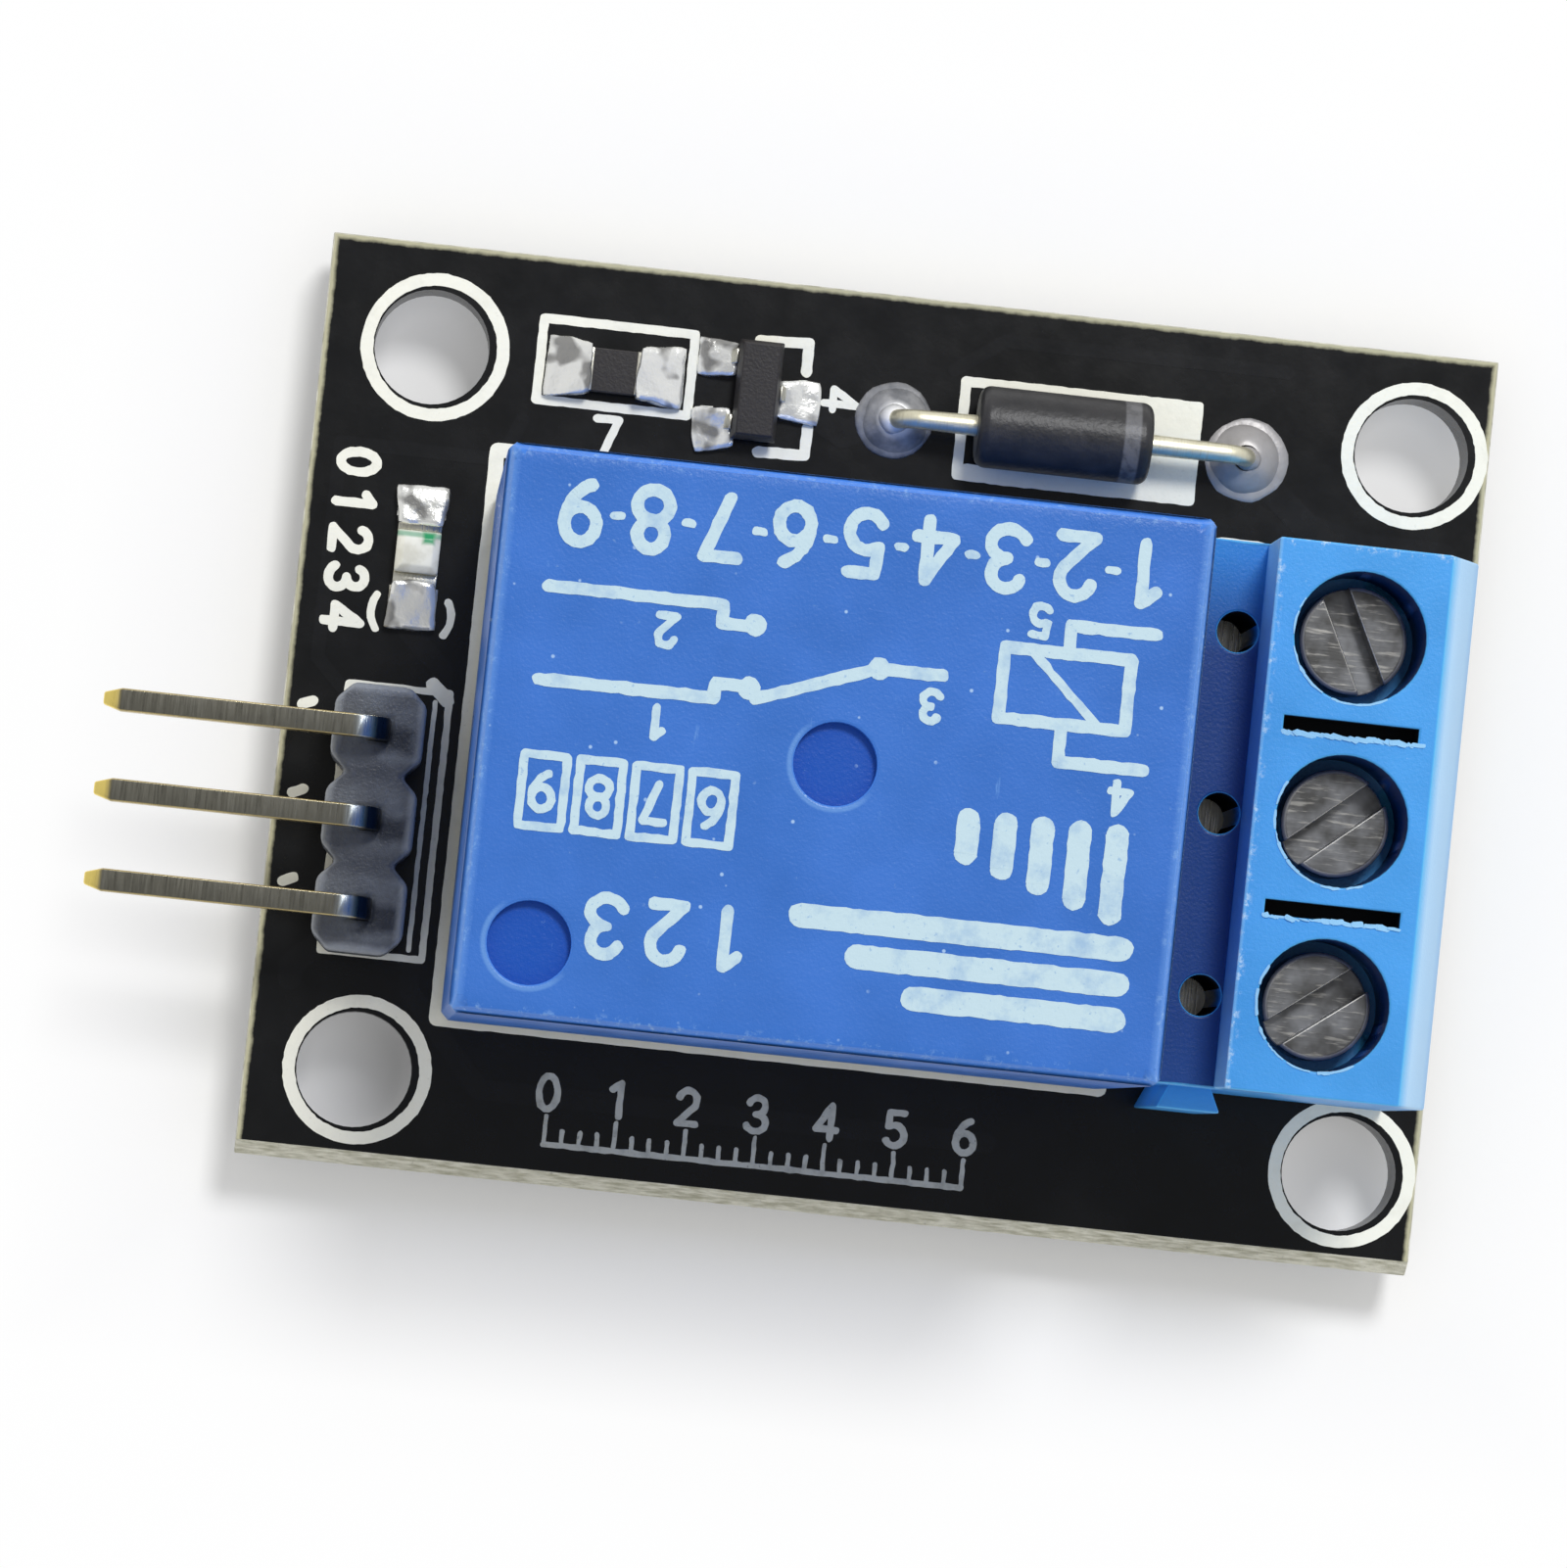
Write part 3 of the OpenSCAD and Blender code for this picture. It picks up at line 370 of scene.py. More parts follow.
def plasticSkin(name, tone, rough=0.32, grain=0.012, speck=0.25, scale=1.0, edge=1.18, extra=None):
    skin = Finish(name, IOR=1.5, Specular_IOR_Level=0.35)
    mottle = skin.cloud(0.35 * scale, 4)
    skin.base = skin.blend(shade(tone, plastic["dark"]), shade(tone, plastic["light"]),
                      skin.slope(mottle, 0.35, 0.65))
    # painted highlight: faces between flat and upright, the rounded edges, are made lighter; edge sets how
    # much lighter
    up = skin.facing().size()
    rim = skin.slope(up, 0.25, 0.5) * skin.slope(up, 0.75, 0.95, 1, 0)
    skin.coat(shade(tone, edge, plastic["rimMore"]), plastic["rimShare"] * rim)
    if extra:
        extra(skin)
    skin.coat(shade(tone, *plastic["dustTone"]), skin.flecks(*plastic["dust"], speck))
    fine = skin.cloud(11.0, 3, seed=2.0) + 0.5 * skin.cloud(1.2, 2, seed=5.0)
    return skin.use(Roughness=skin.slope(mottle, 0.3, 0.7, rough - 0.06, rough + 0.08),
                    Normal=skin.bump(fine, grain))


def inkFinish(name, tone, worn, share, rough=0.55):
    ink = Finish(name, IOR=1.45)
    patch = ink.flecks(1.2, 5, 0.65, 0.0, 0.5, 0.72, share)
    pits = ink.flecks(7.0, 4, 0.6, 9.0, 0.62, 0.68, share)
    ink.base = ink.blend(tone, worn, patch.most(pits))
    return ink.use(Roughness=ink.slope(patch, 0, 1, rough - 0.08, rough + 0.1),
                   Normal=ink.bump(ink.cloud(6.0, 3), 0.01))


def metalFinish(name, tone, dark, rough, scratch=(14, 0.8, 4), share=0.5, extra=None):
    metal = Finish(name, Metallic=1.0)
    lines = metal.cloud(1.0, 4, 0.6, where=metal.stretch(*scratch))
    patch = metal.cloud(1.1, 4, seed=6.0)
    metal.base = metal.blend(tone, dark, metal.slope(patch, 0.4, 0.7, 0, share))
    metal.coat(dark, metal.slope(lines, 0.5, 0.7, 0, share))
    if extra:
        extra(metal)
    return metal.use(Roughness=metal.slope(lines, 0.3, 0.7, rough - 0.07, rough + 0.12),
                     Normal=metal.bump(lines + patch, 0.008))


def maskFinish(name, dark, light):
    low, high = span("circuit_board")
    mask = Finish(name, IOR=1.45, Specular_IOR_Level=0.35)
    x, y = mask.axis("X"), mask.axis("Y")
    edge = (x - low.x).least(high.x - x).least((y - low.y).least(high.y - y))
    edge = edge + 0.14 * (mask.cloud(3.0, 4) - 0.5)
    mask.base = mask.blend(dark, light, mask.slope(mask.cloud(0.5, 3), 0.3, 0.7))
    mask.coat(board["dust"], mask.flecks(3.2, 6, 0.72, 3.0, 0.69, 0.76, 0.35))
    mask.coat(board["bareRim"], mask.slope(edge, 0.09, 0.2, 1, 0))
    wave = mask.cloud(0.9, 3, seed=7.0)
    return mask.use(Roughness=mask.slope(wave, 0.3, 0.7, 0.22, 0.3),
                    Normal=mask.bump(wave + 0.2 * mask.cloud(9.0, 2), 0.008))


# the board and what lies on it

board = {
    "mask": ((10, 11, 12), (17, 18, 20)), "copper": ((15, 16, 18), (23, 24, 26)), "dust": (96, 98, 98),
    "bareRim": (196, 192, 160), "fibre": ((172, 170, 148), (226, 224, 208)), "crumb": (120, 118, 106),
    "bevel": 0.04, "edgeReach": 0.5, "sideReach": 0.6,
    "holes": (28.4, 20.8), "ringInner": 1.77, "ringOuter": 2.13, "ringShift": 0.09, "ringSteps": 96,
}


def laminateFinish():
    fibre = Finish("laminate", IOR=1.5, Roughness=0.7)
    weave = fibre.cloud(1.0, 4, where=fibre.stretch(1.8, 1.8, 13.0))
    crumbs = fibre.cloud(5.0, 5, 0.7, seed=4.0)
    dark, light = board["fibre"]
    fibre.base = fibre.blend(dark, light, fibre.slope(weave, 0.35, 0.62))
    fibre.coat(board["crumb"], fibre.slope(crumbs, 0.6, 0.72, 0, 0.6))
    return fibre.use(Normal=fibre.bump(crumbs, 0.06))


boardMask = maskFinish("boardMask", *board["mask"])
copperMask = maskFinish("copperMask", *board["copper"])
laminate = laminateFinish()
silkInk = inkFinish("silkInk", (255, 254, 240), (226, 226, 212), 0.4)
dimInk = inkFinish("dimInk", (196, 198, 190), (116, 118, 114), 0.75)


def dressBoard():
    low, high = span("circuit_board")

    def outline(edge):
        ends = [vert.co / mm for vert in edge.verts]
        gaps = [min(at.x - low.x, high.x - at.x, at.y - low.y, high.y - at.y) for at in ends]
        return max(gaps) < board["edgeReach"]

    def rims(bm):
        recolour(bm, 1, lambda at, n: abs(n.z) < 0.95 and (
            min(at.x - low.x, high.x - at.x) < board["edgeReach"]
            or min(at.y - low.y, high.y - at.y) < board["sideReach"]))
    dressed("circuit_board", [boardMask, laminate], board["bevel"], "solder_mask", pick=outline, change=rims)


def mountHoles():
    dx, dy = board["holes"]
    return [(sx * dx / 2, sy * dy / 2) for sx in (-1, 1) for sy in (-1, 1)]


silk = {  # frames are set off from a node's box, strokes and digits from a node's middle
    "lift": 0.02, "sunk": 0.01, "rag": 0.025,
    "frames": [
        ("relay_cover", (-0.1, 0.02, -0.1, 1.1), 0.42),
        ("header_insulator", (0.3, 0.05, 0.62, 0.1), 0.2),
    ],
    "headBar": ((0.22, 0.3), (0.22, -0.2), 0.14),
    "headHook": ((0.1, 0.3), (0.55, -0.1), 0.42),
    "pinMark": ((-16.8, 0.62), (-16.5, 0.75), 0.3),
    "strokes": [
        ("resistor_body", frameOf(-2.14, -1.0, 2.22, 1.35), 0.27),
        ("transistor_body", [(-0.05, 1.51), (1.36, 1.58), (1.37, 0.75)], 0.32),
        ("transistor_body", [(0.21, -1.69), (1.55, -1.64), (1.57, -0.85)], 0.32),
        ("diode_body", frameOf(-2.85, -1.36, 3.9, 1.36), 0.3),
        ("diode_body", [(-2.6, -1.22), (3.6, -1.22), (3.6, 1.12), (2.4, 1.12)], 0.42),
        *[("diode_body", [(2.4 + 0.32 * i, -1.2), (2.4 + 0.32 * i, 1.2)], 0.44) for i in range(5)],
        ("lamp_base", arc(-0.2, -1.75, 0.95, 0.9, 150, 215, 6), 0.22),
        ("lamp_base", arc(0.2, -1.75, 0.95, 0.9, 30, -35, 6), 0.22),
    ],
    "count": ("01234", (-16.45, 7.2), 1.05, 0.27, -90, 1.06),  # digits, place, height, line, turn, step
    "labels": [
        ("resistor_body", "7", (-0.35, -2.45), 1.1, 0.24, 0),
        ("transistor_body", "4", (1.95, 0.35), 0.95, 0.22, -90),
    ],
    "postMark": (1.5, 2.6, 0.35, 0.7),
}


def addSilk():
    floor = span("circuit_board")[1].z
    top = floor + silk["lift"]
    bm = bmesh.new()
    for x, y in mountHoles():
        ring(bm, (x + board["ringShift"], y), board["ringInner"], board["ringOuter"],
             floor - silk["sunk"], top, board["ringSteps"])
    for node, (left, front, right, back), line in silk["frames"]:
        low, high = span(node)
        draw(bm, frameOf(low.x + left, low.y + front, high.x + right, high.y + back), line, top)
    low, high = span("header_insulator")
    (x0, y0), (x1, y1), line = silk["headBar"]
    draw(bm, [(high.x + x0, low.y + y0), (high.x + x1, high.y + y1)], line, top)
    (x0, y0), (x1, y1), line = silk["headHook"]
    draw(bm, [(high.x + x0, high.y + y0), (high.x + x1, high.y + y1)], line, top)
    (x0, y0), (x1, y1), line = silk["pinMark"]
    for i in (1, 2, 3):
        y = middle("header_pin_%d" % i).y
        draw(bm, [(x0, y + y0), (x1, y + y1)], line, top)
    for node, points, line in silk["strokes"]:
        at = middle(node)
        draw(bm, [(at.x + x, at.y + y) for x, y in points], line, top)
    digits, place, tall, line, turn, step = silk["count"]
    write(bm, digits, place, tall, line, top, turn, step)
    for node, digits, (x, y), tall, line, turn in silk["labels"]:
        at = middle(node)
        write(bm, digits, (at.x + x, at.y + y), tall, line, top, turn)
    low, high = span("terminal_housing")
    x0, x1, y, line = silk["postMark"]
    draw(bm, [(low.x + x0, high.y + y), (low.x + x1, high.y + y)], line, top)
    ragged(bm, silk["rag"])
    laid("silk_lines", bm, "board", silkInk)


ruler = {"start": (-8.6, -11.95), "step": 0.5, "count": 25, "baseLine": 0.17, "tickLine": 0.13,
         "longTick": 0.8, "shortTick": 0.42, "every": 4, "digitAt": (-0.3, 1.0), "digit": (0.95, 0.2),
         "rag": 0.03}


def addScale():  # a plain measuring scale in thin ink along the front
    top = span("circuit_board")[1].z + silk["lift"]
    (x, y), step, count = ruler["start"], ruler["step"], ruler["count"]
    bm = bmesh.new()
    draw(bm, [(x, y), (x + step * (count - 1), y)], ruler["baseLine"], top)
    for i in range(count):
        tall = ruler["shortTick"] if i % ruler["every"] else ruler["longTick"]
        draw(bm, [(x + step * i, y), (x + step * i, y + tall)], ruler["tickLine"], top)
    dx, dy = ruler["digitAt"]
    for i in range(0, count, ruler["every"]):
        write(bm, str(i // ruler["every"]), (x + step * i + dx, y + dy), *ruler["digit"], top)
    ragged(bm, ruler["rag"])
    laid("silk_scale", bm, "board", dimInk)


traces = {  # runs of copper and their widths, on the upper and the under face
    "upper": [
        ([(-14.5, -0.8), (-16.5, 1.2), (-16.5, 7.4), (-11.9, 7.4), (-11.4, 8.6)], 0.4),
        ([(-14.0, 2.2), (-12.9, 1.2), (-12.9, -8.0), (-10.6, -10.6), (4.0, -10.6)], 0.6),
        ([(-7.0, 10.2), (-6.3, 10.2), (-5.9, 10.9)], 0.5),
        ([(-3.7, 10.0), (-2.2, 9.2), (-1.2, 9.7)], 0.8),
        ([(9.4, 9.7), (11.4, 8.0), (13.0, 7.6), (15.4, 7.6), (15.4, -7.0)], 0.8),
        ([(-14.5, -5.9), (-16.3, -7.6), (-16.3, -8.0)], 0.7),
        ([(0.8, 11.4), (2.2, 12.4), (10.4, 12.4)], 0.4),
    ],
    "under": [
        ([(12.0, 4.2), (8.0, 4.2), (4.8, 2.0), (4.8, -1.1)], 2.6),
        ([(12.0, -0.9), (7.5, -0.9), (4.0, -5.5), (-9.0, -1.1)], 2.4),
        ([(12.0, -6.0), (9.0, -8.4), (3.0, -8.4), (3.0, -7.0)], 2.6),
        ([(-14.5, -3.3), (-10.0, -3.3), (-8.0, 5.0), (9.0, 8.2)], 1.0),
        ([(-14.5, -5.9), (-12.0, -8.4), (-4.8, -8.4), (-4.8, 8.0)], 0.9),
        ([(-14.5, -0.8), (-13.0, 1.2), (-13.0, 7.0), (-10.4, 9.6), (-1.1, 9.8)], 0.6),
    ],
    "upperTop": 0.012, "upperThick": 0.02, "underTop": 0.01,
}


def addTraces():  # copper under the mask, on both faces
    low, high = span("circuit_board")
    bm = bmesh.new()
    for points, width in traces["upper"]:
        draw(bm, points, width, high.z + traces["upperTop"], traces["upperThick"])
    for points, width in traces["under"]:
        draw(bm, points, width, low.z + traces["underTop"])
    laid("copper_runs", bm, "board", copperMask)


dressBoard()
addSilk()
addScale()
addTraces()
print("stage: board")


# the relay

relay = {
    "blue": (56, 114, 202), "baseBlue": (38, 66, 128), "speck": 0.75,
    "lipHighlight": (120, 170, 232), "pipFloorShade": (8, 78, 180), "endHighlight": (108, 158, 230), "nick": (150, 192, 240),
    "dot": (176, 208, 244), "scuff": (112, 162, 228),
    "nicks": (4.4, 5, 0.75, 12.0, 0.54, 0.64), "dotSize": 1.4,
    "dotPatches": (0.7, 2, 0.55, 11.0, 0.46, 0.54, 0.85),
    "pipWide": 2.25, "pipEnd": 1.95, "pipSide": 2.05, "pipDeep": 0.46,
    "bevel": 0.08, "baseBevel": 0.02, "edge": 0.46, "crisp": 0.5, "topDrop": 0.02, "topZone": 0.3,
}


def caseFinish():
    low, high = span("relay_cover")
    top, centre, pip = high.z, (low + high) / 2, relay["pipWide"] / 2
    pips = ((centre.x, centre.y), (low.x + relay["pipEnd"], low.y + relay["pipSide"]))

    # painted shade and highlights on the case, beside real nicks, dust specks and scuffs
    def wearAndPaintedLight(skin):
        x, y, z = skin.axes()
        deep = skin.slope(z, top - 0.42, top - 0.2, 1, 0) * (z > top - relay["pipDeep"])
        # painted highlight: a pale arc round the lower-left rim of each dimple
        for spot in pips:
            lit = skin.slope(x + y, sum(spot) - 0.4, sum(spot) + 0.4, 1, 0)
            lipHighlight = skin.slope((skin.away(*spot) - pip - 0.1).size(), 0.03, 0.1, 0.5, 0)
            skin.coat(relay["lipHighlight"], lipHighlight * lit)
        # painted shade: the floors of both dimples are made darker
        inner = (skin.away(*pips[0]) < pip + 0.02).most(skin.away(*pips[1]) < pip + 0.02)
        skin.coat(relay["pipFloorShade"], deep * inner)
        ends, sides, drop = (x - low.x).least(high.x - x), (y - low.y).least(high.y - y), top - z
        edge = ends.least(sides).most(ends.most(sides).least(drop))  # how far the nearest corner line is
        # painted highlight: a lighter band along the top edges at both ends of the case
        endHighlight = skin.slope(ends, 0.1, 0.4, 0.8, 0) * skin.slope(drop, 0.1, 0.4, 1, 0)
        skin.coat(relay["endHighlight"], endHighlight)
        nicks = skin.flecks(*relay["nicks"]) * skin.slope(edge, 0.12, 0.42, 0.7, 0)
        skin.coat(relay["nick"], nicks)
        dots = skin.slope(skin.cells(relay["dotSize"]), 0.05, 0.085, 1, 0) * skin.flecks(*relay["dotPatches"])
        skin.coat(relay["dot"], dots)
        scuff = skin.cloud(1.0, 4, 0.7, where=skin.stretch(2.4, 0.5, 1, 0.5), seed=15.0)
        skin.coat(relay["scuff"], skin.slope(scuff, 0.66, 0.72, 0, 0.5))
    return plasticSkin("caseBlue", relay["blue"], speck=relay["speck"], extra=wearAndPaintedLight)


caseBlue = caseFinish()
baseBlue = plasticSkin("baseBlue", relay["baseBlue"])
printInk = inkFinish("printInk", (196, 222, 234), (120, 165, 215), 0.55)


def dressRelay():
    low, high = span("relay_cover")

    def crisp(bm):  # a tighter edge, then room for the print, so that the whole keeps its height
        for vert in bm.verts:
            at = vert.co / mm
            isPipFloor = abs(at.z - high.z + 0.4) < 0.02
            for axis, wall in ((0, low.x), (0, high.x), (1, low.y), (1, high.y), (2, high.z)):
                if abs(at[axis] - wall) < relay["edge"] and not (axis == 2 and isPipFloor):
                    at[axis] = wall + (at[axis] - wall) * relay["crisp"]
            if at.z > high.z - relay["topZone"]:
                at.z -= relay["topDrop"]
            vert.co = at * mm
    dressed("relay_cover", caseBlue, relay["bevel"], "relay_blue", change=crisp, pick=isOuter)
    dressed("relay_base", baseBlue, relay["baseBevel"], "relay_base_blue", pick=isOuter)


relayPrint = {  # from the case's middle, read from the terminal's side
    "turn": 180, "rag": 0.036,
    "row": ("123456789", (-8.25, -6.75), 1.9, 1.6, 0.34),  # digits, place, step, height and line
    "dash": (-6.95, -6.75, -5.95, 0.22),
    "wiring": [  # a coil with its two ends, and a changeover contact
        (frameOf(-7.6, -3.6, -4.2, -1.7), 0.34),
        ([(-5.9, -1.7), (-5.9, -0.7), (-8.2, -0.7)], 0.34),
        ([(-5.9, -3.6), (-5.9, -4.35), (-8.2, -4.35)], 0.34),
        ([(-4.9, -3.6), (-6.9, -1.7)], 0.24),
        ([(-2.6, -2.65), (-0.9, -2.65), (2.3, -1.5)], 0.34),
        ([(8.1, -1.4), (3.4, -1.4), (3.4, -1.8), (2.6, -1.8)], 0.34),
        ([(8.1, -3.9), (3.4, -3.9), (3.4, -3.4), (2.6, -3.4)], 0.34),
    ],
    "knots": [(-0.9, -2.65), (2.5, -1.75), (2.5, -3.45)], "knotWide": 0.62, "knotDrop": 0.0045,
    "pins": [(4.6, -1.0), (4.6, -3.45), (-2.6, -2.2), (-7.9, -0.3), (-5.3, -4.8)], "pinSize": (0.8, 0.22),
    "bars": ((-7.7, 1.1), 1.0, 0.62, (2.1, 1.8, 1.5, 1.2, 0.9)),  # place, step, line and lengths
    "levels": ((-8.1, 4.1), 0.95, 0.66, (8.6, 7.0, 5.4)),
    "boxes": ("6789", (2.6, 0.6), 1.5, (1.15, 2.5), 0.24), "boxDigit": ((0.28, 0.45), (1.0, 0.22)),
    "corner": ("1 2 3", (1.9, 4.2), 1.5, 0.32), "cornerStep": 0.55,
}


def addPrint():  # plain wiring picture, pin numbers and bars
    low, high = span("relay_cover")
    centre, top, look = (low + high) / 2, high.z, relayPrint
    bm = bmesh.new()
    digits, (x, y), step, tall, line = look["row"]
    left, right, front, thin = look["dash"]
    for i, digit in enumerate(digits):
        write(bm, digit, (x + step * i, y), tall, line, top)
        if i < len(digits) - 1:
            draw(bm, [(left + step * i, front), (right + step * i, front)], thin, top)
    for points, line in look["wiring"]:
        draw(bm, points, line, top)
    for at in look["knots"]:
        dot(bm, at, look["knotWide"], top - look["knotDrop"])
    for i, at in enumerate(look["pins"]):
        write(bm, str(i + 1), at, *look["pinSize"], top)
    (x, y), step, line, lengths = look["bars"]
    for i, tall in enumerate(lengths):
        draw(bm, [(x + step * i, y), (x + step * i, y + tall)], line, top)
    digits, (x, y), step, (wide, back), line = look["boxes"]
    (dx, dy), size = look["boxDigit"]
    for i, digit in enumerate(digits):
        left = x + step * i
        draw(bm, frameOf(left, y, left + wide, back), line, top)
        write(bm, digit, (left + dx, y + dy), *size, top)
    (x, y), step, line, lengths = look["levels"]
    for i, long in enumerate(lengths):
        draw(bm, [(x, y + step * i), (x + long, y + step * i)], line, top)
    write(bm, *look["corner"], top, step=look["cornerStep"])
    ragged(bm, look["rag"])
    turn = Matrix.Rotation(math.radians(look["turn"]), 4, "Z")
    bmesh.ops.transform(bm, matrix=Matrix.Translation((centre.x, centre.y, 0)) @ turn, verts=bm.verts[:])
    laid("relay_print", bm, "board", printInk)


nylon = plasticSkin("nylon", (226, 220, 200))
softIron = metalFinish("softIron", (176, 176, 178), (110, 110, 114), 0.38)
alloy = metalFinish("alloy", (214, 160, 104), (150, 104, 62), 0.3)
silver = metalFinish("silver", (232, 230, 224), (170, 166, 158), 0.25)
tinned = metalFinish("tinned", (220, 218, 206), (160, 156, 140), 0.28)
copper = metalFinish("copper", (196, 96, 50), (120, 52, 26), 0.28, scratch=(3, 3, 12))

works = [  # node, finish, bevel and slot
    ("coil_bobbin", nylon, 0.05, "bobbin_nylon"),
    ("iron_core", softIron, 0.05, "soft_iron"),
    ("yoke", softIron, 0.06, "soft_iron"),
    ("armature", softIron, 0.05, "soft_iron"),
    ("contact_blade", alloy, 0.03, "contact_alloy"),
    ("moving_contact", silver, 0.03, "contact_silver"),
    ("open_contact", alloy, 0.03, "contact_alloy"),
    ("closed_contact", alloy, 0.03, "contact_alloy"),
    ("coil_pins", tinned, 0.03, "tinned_lead"),
]
coil = {"wire": 0.2, "wireSides": 8, "steps": 40, "coreIn": 2.2, "coreOut": 0.5, "coreSteps": 48,
        "coreGap": 0.01}


def dressWorks():
    for part in works:
        dressed(*part)


def windCoil():  # one spun turn of wire for each pitch of the winding, round a plain inner layer
    low, high = span("coil_winding")
    centre, outer = (low + high) / 2, (high.x - low.x) / 2
    turns = int((high.z - low.z) / coil["wire"])
    pitch = (high.z - low.z) / turns
    bm = bmesh.new()
    for i in range(turns):
        at = Vector((centre.x + outer - pitch / 2, centre.y, low.z + pitch * (i + 0.5)))
        upright = Matrix.Translation(at) @ Matrix.Rotation(math.pi / 2, 4, "X")
        made = bmesh.ops.create_circle(bm, segments=coil["wireSides"], radius=pitch / 2, matrix=upright)
        edges = list({e for v in made["verts"] for e in v.link_edges})
        bmesh.ops.spin(bm, geom=made["verts"] + edges, cent=centre, axis=(0, 0, 1), angle=2 * math.pi,
                       steps=coil["steps"], use_merge=True)
    ring(bm, centre.xy, outer - coil["coreIn"] * pitch, outer - coil["coreOut"] * pitch,
         low.z + coil["coreGap"], high.z - coil["coreGap"], coil["coreSteps"])
    made = laid("coil_turns", bm, bodyOf("coil_winding"), copper)
    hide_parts("coil_winding")


dressRelay()
addPrint()
dressWorks()
windCoil()
print("stage: relay")


# the screw terminal

terminal = {
    "azure": (72, 161, 236), "shelfShadowDark": (17, 64, 132), "shelfShadowLight": (44, 132, 214),
    "stepWallLight": (150, 206, 250), "chamfer": (170, 216, 254), "nick": (190, 222, 250),
    "scuff": (150, 204, 250), "wellShade": (18, 54, 112), "burr": (150, 208, 250), "hole": (12, 15, 22),
    "nicks": (3.6, 5, 0.75, 14.0, 0.52, 0.6), "scuffs": (2.6, 6, 0.8, 16.0, 0.66, 0.7, 0.5),
    "ledge": 9.0, "step": 9.49, "chamferStart": 14.31, "chamferLow": 9.3, "chamferHigh": 10.2,
    "markLong": 3.75, "markWide": 0.42, "markReach": (2.0, 0.5), "markFloor": 10.3, "wellWide": 3.65,
    "pitFloor": 5, "shaftHalf": 0.62, "shaftBack": 0.7, "shaftFront": 9.4, "shaftTop": 8.9,
    "shaftRim": 8.5, "shaftEnd": 9.9,
    "bevel": 0.07, "screwBevel": 0.05, "clampBevel": 0.04, "pinBevel": 0.03,
}


def azureFinish():
    low, high = span("terminal_housing")
    ledge, step, front = terminal["ledge"], terminal["step"], terminal["chamferStart"]

    # painted light and shade on the housing, then its real nicks and scuffs
    def depths(skin):
        x, y, z = skin.axes()
        # painted shadow: the up-facing ledge behind the step is made dark, lighter towards the high-y end
        tone = skin.blend(terminal["shelfShadowDark"], terminal["shelfShadowLight"],
                          skin.slope(y, high.y - 3.2, high.y - 0.4))
        behind = skin.slope(x, step, step + 0.12, 1, 0)
        shelfShadow = skin.slope(z, ledge - 0.3, ledge - 0.1) * skin.slope(z, ledge + 0.05, ledge + 0.3, 1, 0)
        skin.coat(tone, behind * shelfShadow * skin.slope(skin.facing(), 0.6, 0.9))
        # painted light: the upright wall behind the step is made paler, against the relay's shadow on it
        wall = behind * skin.slope(z, ledge + 0.05, ledge + 0.3)
        skin.coat(terminal["stepWallLight"], wall * 0.8)
        # painted highlight on the front chamfer
        slantHighlight = skin.slope(x, front + 0.05, front + 0.3)
        slantHighlight = slantHighlight * skin.slope(z, terminal["chamferLow"], terminal["chamferHigh"])
        skin.coat(terminal["chamfer"], slantHighlight)
        edge = (y - low.y).least(high.y - y).least(x - step)
        nicks = skin.flecks(*terminal["nicks"]) * skin.slope(edge, 0.08, 0.26, 0.9, 0)
        skin.coat(terminal["nick"], nicks * (z > high.z - 0.3))
        skin.coat(terminal["scuff"], skin.flecks(*terminal["scuffs"]))
    return plasticSkin("terminalAzure", terminal["azure"], rough=0.34, extra=depths)


def screwFinish():
    zinc = Finish("zincScrew", Metallic=1.0)
    along = zinc.cloud(1.0, 5, 0.62, where=zinc.stretch(0.8, 7.5, 0.8, -0.68))
    cross = zinc.cloud(1.0, 3, 0.5, where=zinc.stretch(0.9, 6, 0.8, 1.1), seed=4.0)
    scratch = zinc.slope(along, 0.56, 0.66, 0, 0.9).most(zinc.slope(cross, 0.62, 0.68, 0, 0.6))
    zinc.base = zinc.blend((142, 144, 148), (92, 92, 92), zinc.slope(zinc.cloud(1.0, 3), 0.35, 0.62))
    zinc.coat((214, 212, 206), 0.6 * scratch)
    # painted highlight: the rounded edges of the head and slot are made near white and less glossy
    up = zinc.facing().size()
    rim = zinc.slope(up, 0.2, 0.45) * zinc.slope(up, 0.9, 0.99, 1, 0)
    zinc.coat((250, 248, 240), rim)
    return zinc.use(Roughness=zinc.slope(rim, 0, 1, 0.34, 0.5), Normal=zinc.bump(along, 0.004))


terminalAzure = azureFinish()
# painted shade for the inner walls of the screw wells
wellShadeBlue = plasticSkin("wellShadeBlue", terminal["wellShade"])
burrPale = plasticSkin("burrPale", terminal["burr"], rough=0.4)
shadowBlack = Finish("shadowBlack", Roughness=0.8).use(Base_Color=paint(*terminal["hole"]))
zincScrew = screwFinish()
nickel = metalFinish("nickel", (196, 192, 184), (130, 126, 118), 0.3)


def screwPlaces():
    return [middle("terminal_screw_%d" % i) for i in (1, 2, 3)]


